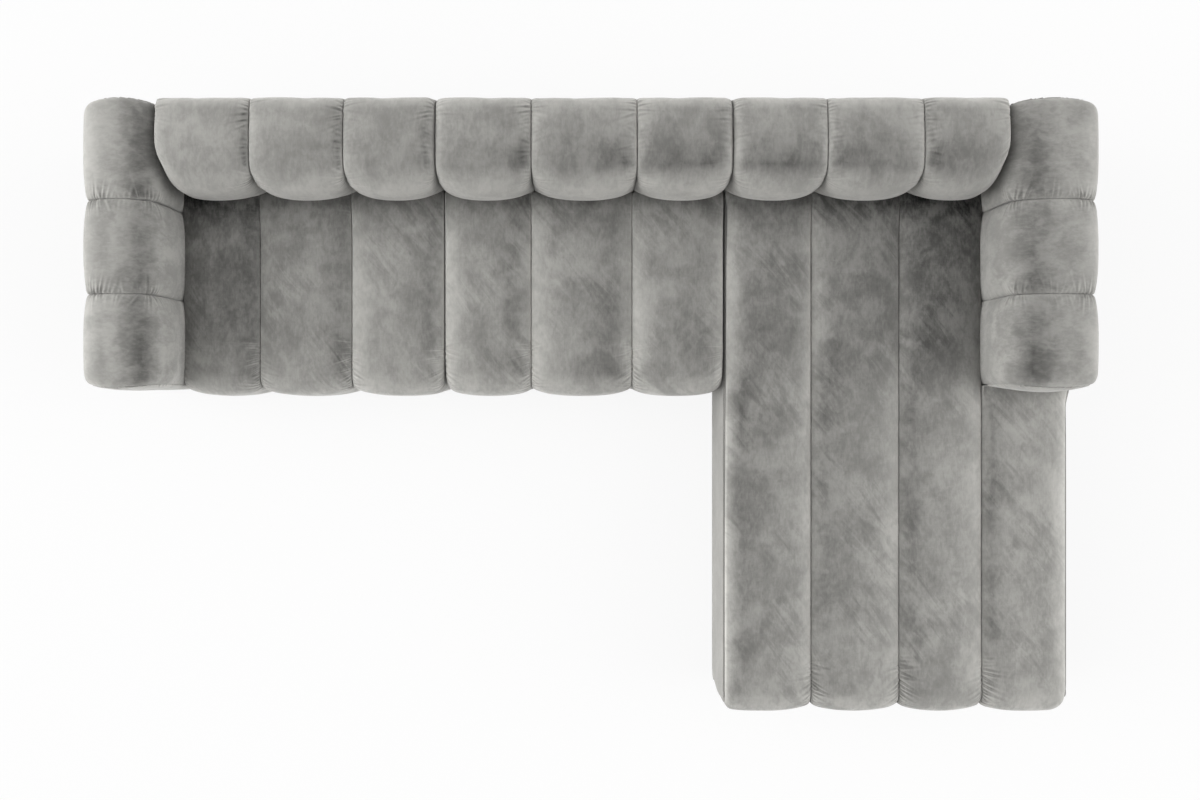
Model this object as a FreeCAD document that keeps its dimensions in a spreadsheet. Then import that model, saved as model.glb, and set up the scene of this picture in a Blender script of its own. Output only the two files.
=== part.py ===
import FreeCAD, Part
import os
from types import SimpleNamespace

# Modular corner sofa with a chaise, built as three upholstered modules that hook together.
# Each module is a timber seat box on short feet, with elastic straps, a foam core and sewn foam
# channels over it. The left module carries one arm, the chaise module the other.
# Frame: +X runs to the right for someone facing the sofa, +Y to its back, +Z up. The origin is the
# centre of the footprint at floor level. Every length is in millimetres.

SIZES = {
    # Envelope
    "total_width": 3280,
    "total_depth": 2040,
    "sofa_depth": 950,
    "total_height": 690,
    "seat_height": 430,
    # Modules
    "left_module_width": 1140,
    "centre_module_width": 955,
    "left_arm_width": 245,
    "right_arm_width": 300,
    "back_thickness": 310,
    "back_overhang": 30,
    # Clearances
    "fit_gap": 0.4,
    "seam_gap": 0.8,
    "joint_gap": 0.4,
    "joint_recess": 15,
    "overrun": 5,
    # Timber seat box
    "foot_height": 30,
    "dust_cover_thickness": 1,
    "rail_thickness": 22,
    "rail_height": 235,
    "stretcher_width": 70,
    "stretcher_thickness": 22,
    # Straps and foam
    "strap_width": 70,
    "strap_thickness": 2,
    "seat_padding": 88,
    "skirt_height": 45,
    # Seat channels
    "front_leg_thickness": 62,
    "seat_nose_radius": 55,
    "seat_crown": 4,
    # Back
    "post_width": 45,
    "post_depth": 70,
    "top_padding": 90,
    "top_board_thickness": 22,
    "outer_back_thickness": 24,
    "back_crown": 6,
    "back_shoulder_radius": 70,
    "back_rear_radius": 40,
    # Arms
    "arm_outer_leg": 50,
    "arm_inner_leg": 50,
    "arm_post_width": 40,
    "arm_crown": 8,
    "arm_shoulder_radius": 58,
    "arm_belly": 12,
    "facing_thickness": 26,
    "facing_inset": 8,
    # Chaise side panels
    "side_panel_drop": 32,
    "inner_corner_depth": 60,
    "outer_panel_lip": 24,
    # Feet and their bolts
    "foot_radius": 27,
    "foot_inset": 75,
    "foot_bore_radius": 9,
    "foot_bore_depth": 10,
    "bolt_radius": 4,
    "bolt_head_radius": 8,
    "bolt_head_height": 5,
    "bolt_bite": 18,
    "bolt_clearance": 0.4,
    # Hooks that join the modules
    "hook_plate_thickness": 2.5,
    "hook_plate_width": 96,
    "hook_plate_height": 60,
    "hook_height": 120,
    "tongue_width": 50,
    "tongue_length": 34,
    "tongue_clearance": 0.3,
    "bridge_height": 36,
    "bridge_rise": 5,
    "hook_shelf_clearance": 3,
    "hook_front_inset": 190,
    "hook_rear_inset": 190,
    "hook_screw_pitch": 76,
    "hook_screw_drop": 12,
    "screw_radius": 2.25,
    "screw_clearance": 0.3,
    "screw_bite": 16,
    "screw_head_radius": 4.5,
    "screw_head_height": 2.5,
}

# Where the seams fall, as shares of each run of channels
LEFT_SEAT_SHARES = (0, 0.294, 0.645, 1)
CENTRE_SEAT_SHARES = (0, 0.310, 0.672, 1)
CHAISE_SEAT_SHARES = (0, 0.328, 0.674, 1)
LEFT_BACK_SHARES = (0, 0.337, 0.673, 1)
CENTRE_BACK_SHARES = (0, 0.323, 0.678, 1)
CHAISE_BACK_SHARES = (0, 0.341, 0.690, 1)
ARM_SHARES = (0, 0.345, 0.682, 1)

# Along a channel, from one seam to the next, a section stands at each of these shares, and is
# drawn in from the full outline by the other table's share of the draw
STATION_SHARES = (0, 0.04, 0.13, 0.3, 0.5, 0.7, 0.87, 0.96, 1)
DRAW_SHARES = (1, 0.5, 0.17, 0.03, 0, 0.03, 0.17, 0.5, 1)
# How far a seam and an outer corner are drawn in, as shares of the padding there
SEAM_TOP_SHARE = 0.26
SEAM_FRONT_SHARE = 0.3
CORNER_TOP_SHARE = 0.3
CORNER_FRONT_SHARE = 0.68
BACK_SEAM_TOP_SHARE = 0.26
BACK_SEAM_FRONT_SHARE = 0.14
ARM_SEAM_SHARE = 0.34
NOSE_BELLY_SHARE = 0.1
# A round corner's middle point lies this share of the radius in from the square corner
ROUND_SHARE = 0.293
# A puffed panel's sections, as shares of its thickness, and how far each is drawn in
PUFF_STATION_SHARES = (0, 0.5, 0.85, 1)
PUFF_DRAW_SHARES = (0, 0.25, 0.9, 2.2)
# The chaise's rounded front corners, as the same two tables for a panel's thickness and length
INNER_STATION_SHARES = (0, 0.4, 0.75, 1)
INNER_DRAW_SHARES = (0, 0.15, 0.45, 1)
OUTER_STATION_SHARES = (0, 0.02, 0.06, 0.14, 0.3, 1)
OUTER_DRAW_SHARES = (1, 0.75, 0.5, 0.25, 0, 0)


class Length:
    """A length from the sheet or worked out from it: its number, and the same sum as text."""

    def __init__(self, value, text):
        self.value = float(value)
        self.text = text

    def _joined(self, other, sign, value):
        text = other.text if isinstance(other, Length) else repr(other)
        return Length(value, f"({self.text} {sign} {text})")

    def __add__(self, other):
        return self._joined(other, "+", self.value + other.value)

    def __sub__(self, other):
        return self._joined(other, "-", self.value - other.value)

    def __mul__(self, factor):
        return self._joined(factor, "*", self.value * factor)

    def __truediv__(self, factor):
        return self._joined(factor, "/", self.value / factor)

    def __neg__(self):
        return Length(-self.value, f"(-{self.text})")


def make_sheet(doc):
    """The sheet of driving sizes, one alias to a row."""
    sheet = doc.addObject("Spreadsheet::Sheet", "Sizes")
    for row, (name, size) in enumerate(SIZES.items(), start=1):
        sheet.set(f"A{row}", name)
        sheet.set(f"B{row}", str(size))
        sheet.setAlias(f"B{row}", name)
    doc.recompute()
    return sheet


doc = FreeCAD.newDocument("corner_sofa")
sheet = make_sheet(doc)
s = SimpleNamespace(**{name: Length(getattr(sheet, name), "Sizes." + name) for name in SIZES})
mm = SimpleNamespace(**{name: float(getattr(sheet, name)) for name in SIZES})
NOTHING = s.fit_gap * 0
subparts = []

# Planes that more than one piece meets
x_left = -(s.total_width / 2)
x_right = s.total_width / 2
x_joint_left = x_left + s.left_module_width
x_joint_right = x_joint_left + s.centre_module_width
x_left_arm = x_left + s.left_arm_width
x_right_arm = x_right - s.right_arm_width
y_rear = s.total_depth / 2
y_chaise_front = -(s.total_depth / 2)
y_sofa_front = y_rear - s.sofa_depth
y_arm_front = y_sofa_front + s.facing_thickness
y_arm_rear = y_rear - s.facing_thickness
y_post_rear = y_rear - s.outer_back_thickness - s.fit_gap
y_post_front = y_post_rear - s.post_depth
y_box_rear = y_post_front - s.fit_gap
y_seat_rear = y_rear - s.back_thickness + s.back_overhang
z_box_low = s.foot_height + s.dust_cover_thickness
z_box_top = z_box_low + s.rail_height
z_straps_top = z_box_top + s.strap_thickness * 2
z_core_top = s.seat_height - s.seat_padding
z_pad_low = z_core_top + s.fit_gap
z_frame_top = s.total_height - s.top_padding
z_side_panel = s.seat_height - s.side_panel_drop


def box(name, x, y, z):
    """A block between the low and high plane of each pair, given in either order."""
    block = doc.addObject("Part::Box", name)
    for size, axis, pair in zip(("Length", "Width", "Height"), "xyz", (x, y, z)):
        low, high = sorted(pair, key=lambda plane: plane.value)
        block.setExpression(size, (high - low).text)
        block.setExpression(f"Placement.Base.{axis}", low.text)
    return block


def cylinder(name, centre, radius, height, turn=None):
    """A cylinder that stands on its centre point, along Z or turned to lie along X."""
    rod = doc.addObject("Part::Cylinder", name)
    rod.setExpression("Radius", radius.text)
    rod.setExpression("Height", height.text)
    if turn:
        rod.Placement.Rotation = FreeCAD.Rotation(FreeCAD.Vector(0, 1, 0), turn)
    for axis, place in zip("xyz", centre):
        rod.setExpression(f"Placement.Base.{axis}", place.text)
    return rod


def fused(name, shapes):
    """One solid out of several that touch."""
    whole = doc.addObject("Part::MultiFuse", name)
    whole.Shapes = shapes
    whole.Refine = True
    return whole


def cut(name, base, tool):
    """The base less the tool."""
    left_over = doc.addObject("Part::Cut", name)
    left_over.Base = base
    left_over.Tool = tool
    return left_over


def node(label, pieces):
    """A sub-part: one piece, or several like pieces that stay separate solids."""
    group = doc.addObject("Part::Compound", label)
    group.Links = pieces
    group.Label = label
    subparts.append(group)


def soft_node(label, shape):
    """A sewn or foam sub-part whose lofted shape is worked out here."""
    pad = doc.addObject("Part::Feature", label)
    pad.Shape = shape
    pad.Placement = FreeCAD.Placement()
    pad.Label = label
    subparts.append(pad)


def outline(steps, place):
    """Closed wire through steps: (point,) is a straight edge to it, (middle, point) an arc.

    The last point is the first one again. place carries a flat point into space."""
    edges = []
    here = steps[-1][-1]
    for step in steps:
        start, end = place(*here), place(*step[-1])
        if len(step) > 1:
            edges.append(Part.Arc(start, place(*step[0]), end).toShape())
        else:
            edges.append(Part.LineSegment(start, end).toShape())
        here = step[-1]
    return Part.Wire(edges)


def loft(wires):
    """A closed smooth solid through wires that all have the same edges."""
    return Part.makeLoft(wires, True, False)


def draws(low, high):
    """Each station's share along the channel, with its own draw, from seam values at both ends."""
    middle = len(STATION_SHARES) // 2
    for index, (station, share) in enumerate(zip(STATION_SHARES, DRAW_SHARES)):
        ends = low if index < middle else high
        yield station, [end * share for end in ends]


def seat_section(x, y_front, y_end, top, front):
    """A seat channel cut across at x: a pad over the core, rounded into a leg down the front."""
    radius = mm.seat_nose_radius
    belly = mm.front_leg_thickness * NOSE_BELLY_SHARE
    y_nose, z_top = y_front + front, mm.seat_height - top
    z_edge = z_top - mm.seat_crown
    y_leg = y_front + mm.front_leg_thickness
    z_nose = z_edge - radius
    steps = [
        ((y_end, z_edge),),
        (((y_end + y_nose + radius) / 2, z_top), (y_nose + radius, z_edge)),
        (
            (y_nose + belly / 2 + radius * ROUND_SHARE, z_edge - radius * ROUND_SHARE),
            (y_nose + belly / 2, z_nose),
        ),
        ((y_nose, (z_nose + mm.skirt_height) / 2), (y_nose + belly, mm.skirt_height)),
        ((y_leg, mm.skirt_height),),
        ((y_leg, z_pad_low.value),),
        ((y_end, z_pad_low.value),),
    ]
    return outline(steps, lambda y, z: FreeCAD.Vector(x, y, z))


def seat_channel(label, x, y_front, y_end, corners=(False, False)):
    """One sewn seat channel between two seams. A corner is an open end, rounded further."""
    padding = (s.seat_height - z_pad_low).value
    leg = mm.front_leg_thickness
    ends = [
        (padding * CORNER_TOP_SHARE, leg * CORNER_FRONT_SHARE)
        if corner
        else (padding * SEAM_TOP_SHARE, leg * SEAM_FRONT_SHARE)
        for corner in corners
    ]
    x_low, x_high = (x[0] + s.seam_gap / 2).value, (x[1] - s.seam_gap / 2).value
    wires = [
        seat_section(x_low + (x_high - x_low) * share, y_front.value, y_end.value, *draw)
        for share, draw in draws(*ends)
    ]
    soft_node(label, loft(wires))


def back_section(x, top, front):
    """A back channel cut across at x: a thick front, a shoulder, a top and a short rear lip."""
    y_low = y_seat_rear.value
    y_belly = (y_rear - s.back_thickness).value + front
    y_frame = (y_post_front - s.fit_gap).value
    y_lip = (y_rear - s.fit_gap).value - front / 2
    z_seat = mm.seat_height
    z_lip = (z_frame_top + s.fit_gap).value
    z_edge = mm.total_height - mm.back_crown - top
    shoulder, rear = mm.back_shoulder_radius, mm.back_rear_radius
    y_top = y_belly + shoulder
    y_shoulder = y_belly + shoulder * ROUND_SHARE / 2
    z_shoulder = z_edge - shoulder
    z_belly = (z_seat + z_shoulder) / 2
    steps = [
        ((y_low + front / 2, z_seat),),
        ((y_belly, z_belly), (y_shoulder, z_shoulder)),
        (
            (y_belly + shoulder * ROUND_SHARE, z_edge - shoulder * ROUND_SHARE),
            (y_top, z_edge),
        ),
        (((y_top + y_lip - rear) / 2, z_edge + mm.back_crown), (y_lip - rear, z_edge)),
        (
            (y_lip - rear * ROUND_SHARE, z_edge - rear * ROUND_SHARE),
            (y_lip, z_edge - rear),
        ),
        ((y_lip, z_lip),),
        ((y_frame, z_lip),),
        ((y_frame, z_pad_low.value),),
        ((y_low + front / 2, z_pad_low.value),),
    ]
    return outline(steps, lambda y, z: FreeCAD.Vector(x, y, z))


def back_channel(label, x):
    """One sewn back channel between two seams, hung over the back frame."""
    top = mm.top_padding * BACK_SEAM_TOP_SHARE
    front = (y_post_front - y_rear + s.back_thickness).value * BACK_SEAM_FRONT_SHARE
    x_low, x_high = (x[0] + s.seam_gap / 2).value, (x[1] - s.seam_gap / 2).value
    wires = [
        back_section(x_low + (x_high - x_low) * share, *draw)
        for share, draw in draws((top, front), (top, front))
    ]
    soft_node(label, loft(wires))


def arm_section(y, x_outer, side, width, draw, belly):
    """An arm channel cut across at y: outer leg to the skirt, round top, inner leg to the core.

    Points are given by how far they lie in from the arm's outer face, and by height. belly is
    how far the inner face swells over the seat, or zero where the back stands against it."""
    radius = mm.arm_shoulder_radius
    outer_leg, inner_leg = mm.arm_outer_leg, mm.arm_inner_leg
    z_edge = mm.total_height - mm.arm_crown - draw
    z_frame = (z_frame_top + s.fit_gap).value
    z_shoulder = z_edge - radius
    outer = draw + mm.arm_belly / 2
    inner = width - draw
    face = [(inner, mm.seat_height)]
    if belly:
        face.insert(0, (inner + belly, (z_shoulder + mm.seat_height) / 2))
    steps = [
        ((outer, mm.skirt_height),),
        ((draw, (mm.skirt_height + z_shoulder) / 2), (outer, z_shoulder)),
        (
            (outer + radius * ROUND_SHARE, z_edge - radius * ROUND_SHARE),
            (outer + radius, z_edge),
        ),
        (((outer + inner) / 2, z_edge + mm.arm_crown), (inner - radius, z_edge)),
        (
            (inner - radius * ROUND_SHARE, z_edge - radius * ROUND_SHARE),
            (inner, z_shoulder),
        ),
        tuple(face),
        ((inner, z_pad_low.value),),
        ((width - inner_leg, z_pad_low.value),),
        ((width - inner_leg, z_frame),),
        ((outer_leg, z_frame),),
        ((outer_leg, mm.skirt_height),),
    ]
    return outline(steps, lambda inward, z: FreeCAD.Vector(x_outer + side * inward, y, z))


def arm_channels(prefix, x_outer, side, width):
    """Three channels over an arm, from the rear of the sofa to its front."""
    draw = mm.arm_outer_leg * ARM_SEAM_SHARE
    run = (y_arm_rear - y_arm_front).value
    for number, (rear, front) in enumerate(zip(ARM_SHARES, ARM_SHARES[1:]), start=1):
        y_high = y_arm_rear.value - run * rear - mm.seam_gap / 2
        y_low = y_arm_rear.value - run * front + mm.seam_gap / 2
        belly = 0 if number == 1 else mm.arm_belly
        wires = [
            arm_section(
                y_low + (y_high - y_low) * share, x_outer.value, side, width.value, drawn[0], belly
            )
            for share, drawn in draws((draw,), (draw,))
        ]
        soft_node(f"{prefix}_arm_channel_{number}", loft(wires))


def facing_section(y, x_outer, side, width, z_low, draw):
    """An arm facing cut at y: a tall panel with round upper corners, drawn in all round."""
    radius = mm.arm_shoulder_radius
    inset = mm.facing_inset + draw
    z_edge = mm.total_height - mm.arm_crown - inset
    far = width - inset
    z_foot = z_low + draw
    steps = [
        ((inset, z_edge - radius),),
        (
            (inset + radius * ROUND_SHARE, z_edge - radius * ROUND_SHARE),
            (inset + radius, z_edge),
        ),
        ((far - radius, z_edge),),
        ((far - radius * ROUND_SHARE, z_edge - radius * ROUND_SHARE), (far, z_edge - radius)),
        ((far, z_foot),),
        ((inset, z_foot),),
    ]
    return outline(steps, lambda inward, z: FreeCAD.Vector(x_outer + side * inward, y, z))


def puffed(section, start, end, reach):
    """A panel that swells from start to end, each section drawn in by its share of reach."""
    wires = [
        section(start + (end - start) * station, reach * drawn)
        for station, drawn in zip(PUFF_STATION_SHARES, PUFF_DRAW_SHARES)
    ]
    return loft(wires)


def arm_facing(label, x_outer, side, width, y_seam, y_face, z_low):
    """The padded panel that closes one end of an arm."""

    def section(y, draw):
        return facing_section(y, x_outer.value, side, width.value, z_low.value, draw)

    soft_node(label, puffed(section, y_seam.value, y_face.value, mm.facing_inset))


def outer_back(label, x):
    """The padded panel over the rear of a back frame, from the skirt to the channels' lip."""
    x_low, x_high = (x[0] + s.joint_gap).value, (x[1] - s.joint_gap).value
    z_low, z_high = mm.skirt_height, z_frame_top.value

    def section(y, draw):
        corners = [
            ((x_high - draw, z_low + draw),),
            ((x_high - draw, z_high - draw),),
            ((x_low + draw, z_high - draw),),
            ((x_low + draw, z_low + draw),),
        ]
        return outline(corners, lambda x_at, z: FreeCAD.Vector(x_at, y, z))

    start = (y_rear - s.outer_back_thickness).value
    soft_node(label, puffed(section, start, y_rear.value, mm.facing_inset))


def seat_box(prefix, x, y_front, bearer=None):
    """The timber box under a seat: rails, a bearer under the arm, cross rails and stretchers.

    x is the pair of outer planes of its side rails. bearer is the inner plane of the arm frame:
    the arm stands on the outer half of a double rail there, and the straps end on its inner half.
    Returns the pair of planes that the straps run between."""
    y_low = y_front + s.front_leg_thickness + s.fit_gap
    height = (z_box_low, z_box_top)
    x_low, x_high = x
    inner = (y_low + s.rail_thickness, y_box_rear - s.rail_thickness)
    pieces = [
        box(f"{prefix}_front_rail", x, (y_low, inner[0]), height),
        box(f"{prefix}_rear_rail", x, (inner[1], y_box_rear), height),
        box(f"{prefix}_left_rail", (x_low, x_low + s.rail_thickness), inner, height),
        box(f"{prefix}_right_rail", (x_high - s.rail_thickness, x_high), inner, height),
    ]
    above = (z_box_low + s.stretcher_thickness, z_box_top)
    ends = [x_low, x_high]
    if bearer is not None:
        both = (bearer - s.rail_thickness, bearer + s.rail_thickness)
        pieces.append(box(f"{prefix}_arm_bearer", both, inner, above))
        ends[0 if bearer.value < 0 else 1] = bearer
    bay = (ends[1] - ends[0] - s.rail_thickness * 4) / 3
    for number in (1, 2):
        start = ends[0] + bay * number + s.rail_thickness * number
        cross = (start, start + s.rail_thickness)
        pieces.append(box(f"{prefix}_cross_rail_{number}", cross, inner, above))
    rows = stretcher_rows(y_front)
    span = (x_low + s.rail_thickness, x_high - s.rail_thickness)
    for number, row in enumerate(rows, start=1):
        edges = (row - s.stretcher_width / 2, row + s.stretcher_width / 2)
        flat = (z_box_low, z_box_low + s.stretcher_thickness)
        pieces.append(box(f"{prefix}_stretcher_{number}", span, edges, flat))
    node(f"{prefix}_base_frame", pieces)
    return ends


def stretcher_rows(y_front):
    """The y of each stretcher and its row of feet: front and rear, and the middle of a chaise."""
    inset = s.front_leg_thickness + s.foot_inset
    front, rear = y_front + inset, y_box_rear - s.foot_inset
    if (rear - front).value > mm.sofa_depth:
        return [front, (front + rear) / 2, rear]
    return [front, rear]


def straps(prefix, x, y_front, y_end, rows, columns=3):
    """Elastic straps: a layer from front to back, and a layer from side to side on it."""
    low = (z_box_top, z_box_top + s.strap_thickness)
    high = (z_box_top + s.strap_thickness, z_straps_top)
    pieces = []
    pitch = (x[1] - x[0]) / columns
    for number in range(columns):
        start = x[0] + pitch * number + (pitch - s.strap_width) / 2
        along = (start, start + s.strap_width)
        pieces.append(box(f"{prefix}_long_strap_{number}", along, (y_front, y_end), low))
    pitch = (y_end - y_front) / rows
    for number in range(rows):
        start = y_front + pitch * number + (pitch - s.strap_width) / 2
        along = (start, start + s.strap_width)
        pieces.append(box(f"{prefix}_cross_strap_{number}", x, along, high))
    node(f"{prefix}_seat_straps", pieces)


def back_frame(prefix, x):
    """Four posts behind the seat box, a top board on them and a board across at seat height."""
    depth = (y_post_front, y_post_rear)
    z_top = z_frame_top - s.top_board_thickness
    pieces = [box(f"{prefix}_top_board", x, depth, (z_top, z_frame_top))]
    gap = (x[1] - x[0] - s.post_width * 4) / 3
    for number in range(4):
        start = x[0] + (gap + s.post_width) * number
        edges = (start, start + s.post_width)
        pieces.append(box(f"{prefix}_post_{number}", edges, depth, (z_box_low, z_top)))
        if number < 3:
            between = (start + s.post_width, start + s.post_width + gap)
            board = (y_post_front, y_post_front + s.rail_thickness)
            level = (z_core_top, z_core_top + s.stretcher_width)
            pieces.append(box(f"{prefix}_seat_board_{number}", between, board, level))
    node(f"{prefix}_back_frame", pieces)


def arm_frame(prefix, x, z_front_post):
    """The arm's timber: a top board on a post at each end and two more on the seat box."""
    y_low = y_arm_front + s.fit_gap
    y_high = y_arm_rear - s.fit_gap
    y_front_post = y_sofa_front + s.front_leg_thickness
    z_top = z_frame_top - s.top_board_thickness
    pieces = [
        box(f"{prefix}_arm_board", x, (y_low, y_high), (z_top, z_frame_top)),
        box(f"{prefix}_arm_rear_post", x, (y_post_front, y_high), (z_box_low, z_top)),
        box(f"{prefix}_arm_front_post", x, (y_low, y_front_post), (z_front_post, z_top)),
    ]
    gap = (y_post_front - y_front_post - s.arm_post_width * 2) / 3
    for number in (1, 2):
        start = y_front_post + gap * number + s.arm_post_width * (number - 1)
        edges = (start, start + s.arm_post_width)
        pieces.append(box(f"{prefix}_arm_post_{number}", x, edges, (z_box_top, z_top)))
    node(f"{prefix}_arm_frame", pieces)


def foot_places(x, y_front):
    """Where the feet stand: in from both side rails, on every stretcher."""
    return [
        (place, row)
        for row in stretcher_rows(y_front)
        for place in (x[0] + s.foot_inset, x[1] - s.foot_inset)
    ]


def feet(prefix, places):
    """Round feet, each bored for its bolt."""
    pieces = []
    for number, (x, y) in enumerate(places):
        name = f"{prefix}_foot_{number}"
        body = cylinder(f"{name}_body", (x, y, NOTHING), s.foot_radius, s.foot_height)
        below = NOTHING - s.overrun
        hole = cylinder(
            f"{name}_hole",
            (x, y, below),
            s.bolt_radius + s.bolt_clearance,
            s.foot_height + s.overrun * 2,
        )
        bore = cylinder(
            f"{name}_bore", (x, y, below), s.foot_bore_radius, s.foot_bore_depth + s.overrun
        )
        pieces.append(cut(name, body, fused(f"{name}_bores", [hole, bore])))
    node(f"{prefix}_feet", pieces)


def foot_bolts(prefix, places):
    """The bolt that holds each foot, its head up inside the foot."""
    pieces = []
    for number, (x, y) in enumerate(places):
        z_head = s.foot_bore_depth - s.bolt_head_height
        length = z_box_low + s.bolt_bite - s.foot_bore_depth
        name = f"{prefix}_foot_bolt_{number}"
        head = cylinder(f"{name}_head", (x, y, z_head), s.bolt_head_radius, s.bolt_head_height)
        shank = cylinder(f"{name}_shank", (x, y, s.foot_bore_depth), s.bolt_radius, length)
        pieces.append(fused(name, [head, shank]))
    return pieces


def dust_cover(prefix, x, y_front, places):
    """Thin cloth stapled under the box, holed where the foot bolts pass."""
    y_low = y_front + s.front_leg_thickness + s.fit_gap
    level = (s.foot_height, z_box_low)
    cloth = box(f"{prefix}_cloth", x, (y_low, y_post_rear), level)
    holes = [
        cylinder(
            f"{prefix}_cloth_hole_{number}",
            (x_at, y_at, s.foot_height - s.overrun),
            s.bolt_radius + s.bolt_clearance,
            s.overrun * 2 + s.dust_cover_thickness,
        )
        for number, (x_at, y_at) in enumerate(places)
    ]
    holed = cut(f"{prefix}_holed_cloth", cloth, fused(f"{prefix}_cloth_holes", holes))
    node(f"{prefix}_dust_cover", [holed])


def hook_rows():
    """The y of the front and the rear hook at a joint between modules."""
    return [
        y_sofa_front + s.front_leg_thickness + s.hook_front_inset,
        y_box_rear - s.hook_rear_inset,
    ]


def reach(x_rail, out, distance):
    """The plane that lies a distance out from a side rail's face. out is 1 or -1 along X."""
    return x_rail + distance if out > 0 else x_rail - distance


def hook_screws(name, x_rail, out, y, z_low):
    """Two wood screws through a hook plate into the side rail behind it."""
    pieces = []
    turn = 90 * out
    z = z_low + s.hook_plate_height - s.hook_screw_drop
    for side, place in (("a", y - s.hook_screw_pitch / 2), ("b", y + s.hook_screw_pitch / 2)):
        face = reach(x_rail, out, s.hook_plate_thickness)
        root = reach(x_rail, -out, s.screw_bite)
        shank = cylinder(
            f"{name}_shank_{side}",
            (root, place, z),
            s.screw_radius,
            s.screw_bite + s.hook_plate_thickness,
            turn,
        )
        head = cylinder(
            f"{name}_head_{side}", (face, place, z), s.screw_head_radius, s.screw_head_height, turn
        )
        pieces.append(fused(f"{name}_screw_{side}", [head, shank]))
    return pieces


def hook_plate(name, x_rail, out, y, z_low, extras):
    """A plate on the side rail with its two screw holes, made one piece with its extras."""
    width = (y - s.hook_plate_width / 2, y + s.hook_plate_width / 2)
    height = (z_low, z_low + s.hook_plate_height)
    face = reach(x_rail, out, s.hook_plate_thickness)
    plate = box(f"{name}_plate", (x_rail, face), width, height)
    z = z_low + s.hook_plate_height - s.hook_screw_drop
    holes = [
        cylinder(
            f"{name}_hole_{number}",
            (reach(x_rail, -out, s.overrun), place, z),
            s.screw_radius + s.screw_clearance,
            s.overrun * 2 + s.hook_plate_thickness,
            90 * out,
        )
        for number, place in enumerate(
            (y - s.hook_screw_pitch / 2, y + s.hook_screw_pitch / 2)
        )
    ]
    whole = fused(f"{name}_whole", [plate, *extras])
    return cut(name, whole, fused(f"{name}_holes", holes))


def pocket_depth():
    """How deep a receiver's pocket is: the tongue with its clearance on both faces."""
    return s.hook_plate_thickness + s.tongue_clearance * 2


def receiver(name, x_rail, out, y):
    """The open-topped pocket on the centre module: a bridge on two cheeks over the plate."""
    z_low = z_box_low + s.hook_height - s.bridge_rise
    near = reach(x_rail, out, s.hook_plate_thickness)
    far = reach(near, out, pocket_depth())
    front = reach(far, out, s.hook_plate_thickness)
    half = s.tongue_width / 2 + s.tongue_clearance
    height = (z_low + s.bridge_rise, z_low + s.bridge_rise + s.bridge_height)
    outside = half + s.hook_plate_thickness
    extras = [
        box(f"{name}_bridge", (far, front), (y - outside, y + outside), height),
        box(f"{name}_cheek_a", (near, far), (y - outside, y - half), height),
        box(f"{name}_cheek_b", (near, far), (y + half, y + outside), height),
    ]
    return hook_plate(name, x_rail, out, y, z_low, extras), hook_screws(
        name, x_rail, out, y, z_low
    )


def tongue(name, x_rail, out, y):
    """The hook on an end module: a shelf over the bridge and a tongue down into the pocket."""
    z_low = z_box_low + s.hook_height - s.bridge_rise
    z_shelf = z_low + s.bridge_rise + s.bridge_height + s.hook_shelf_clearance
    across = s.joint_recess * 2 - s.hook_plate_thickness - s.tongue_clearance
    tip = reach(x_rail, out, across)
    back = reach(x_rail, out, across - s.hook_plate_thickness)
    near = reach(x_rail, out, s.hook_plate_thickness)
    width = (y - s.tongue_width / 2, y + s.tongue_width / 2)
    z_top = z_shelf + s.hook_plate_thickness
    extras = [
        box(f"{name}_shelf", (near, tip), width, (z_shelf, z_top)),
        box(f"{name}_blade", (back, tip), width, (z_shelf - s.tongue_length, z_shelf)),
    ]
    return hook_plate(name, x_rail, out, y, z_low, extras), hook_screws(
        name, x_rail, out, y, z_low
    )


def seam_planes(start, end, shares):
    """Pairs of neighbouring seam planes along a run of channels."""
    seams = [start + (end - start) * share for share in shares]
    return list(zip(seams, seams[1:]))


def inner_side_panel(label, x_face, x_back):
    """The chaise's long inner side: full height in front, above the hooks beside the sofa."""
    y_low = y_chaise_front + s.front_leg_thickness * SEAM_FRONT_SHARE
    y_step = y_sofa_front - s.fit_gap
    y_high = y_seat_rear - s.fit_gap

    def section(x, draw):
        steps = [
            ((y_step.value, mm.skirt_height),),
            ((y_step.value, z_box_top.value),),
            ((y_high.value, z_box_top.value),),
            ((y_high.value, z_side_panel.value - draw * ROUND_SHARE / 2),),
            ((y_low.value + draw, z_side_panel.value - draw * ROUND_SHARE / 2),),
            ((y_low.value + draw, mm.skirt_height),),
        ]
        return outline(steps, lambda y, z: FreeCAD.Vector(x, y, z))

    wires = [
        section((x_back + (x_face - x_back) * station).value, mm.inner_corner_depth * share)
        for station, share in zip(INNER_STATION_SHARES, INNER_DRAW_SHARES)
    ]
    soft_node(label, Part.makeLoft(wires, True, True))


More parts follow.
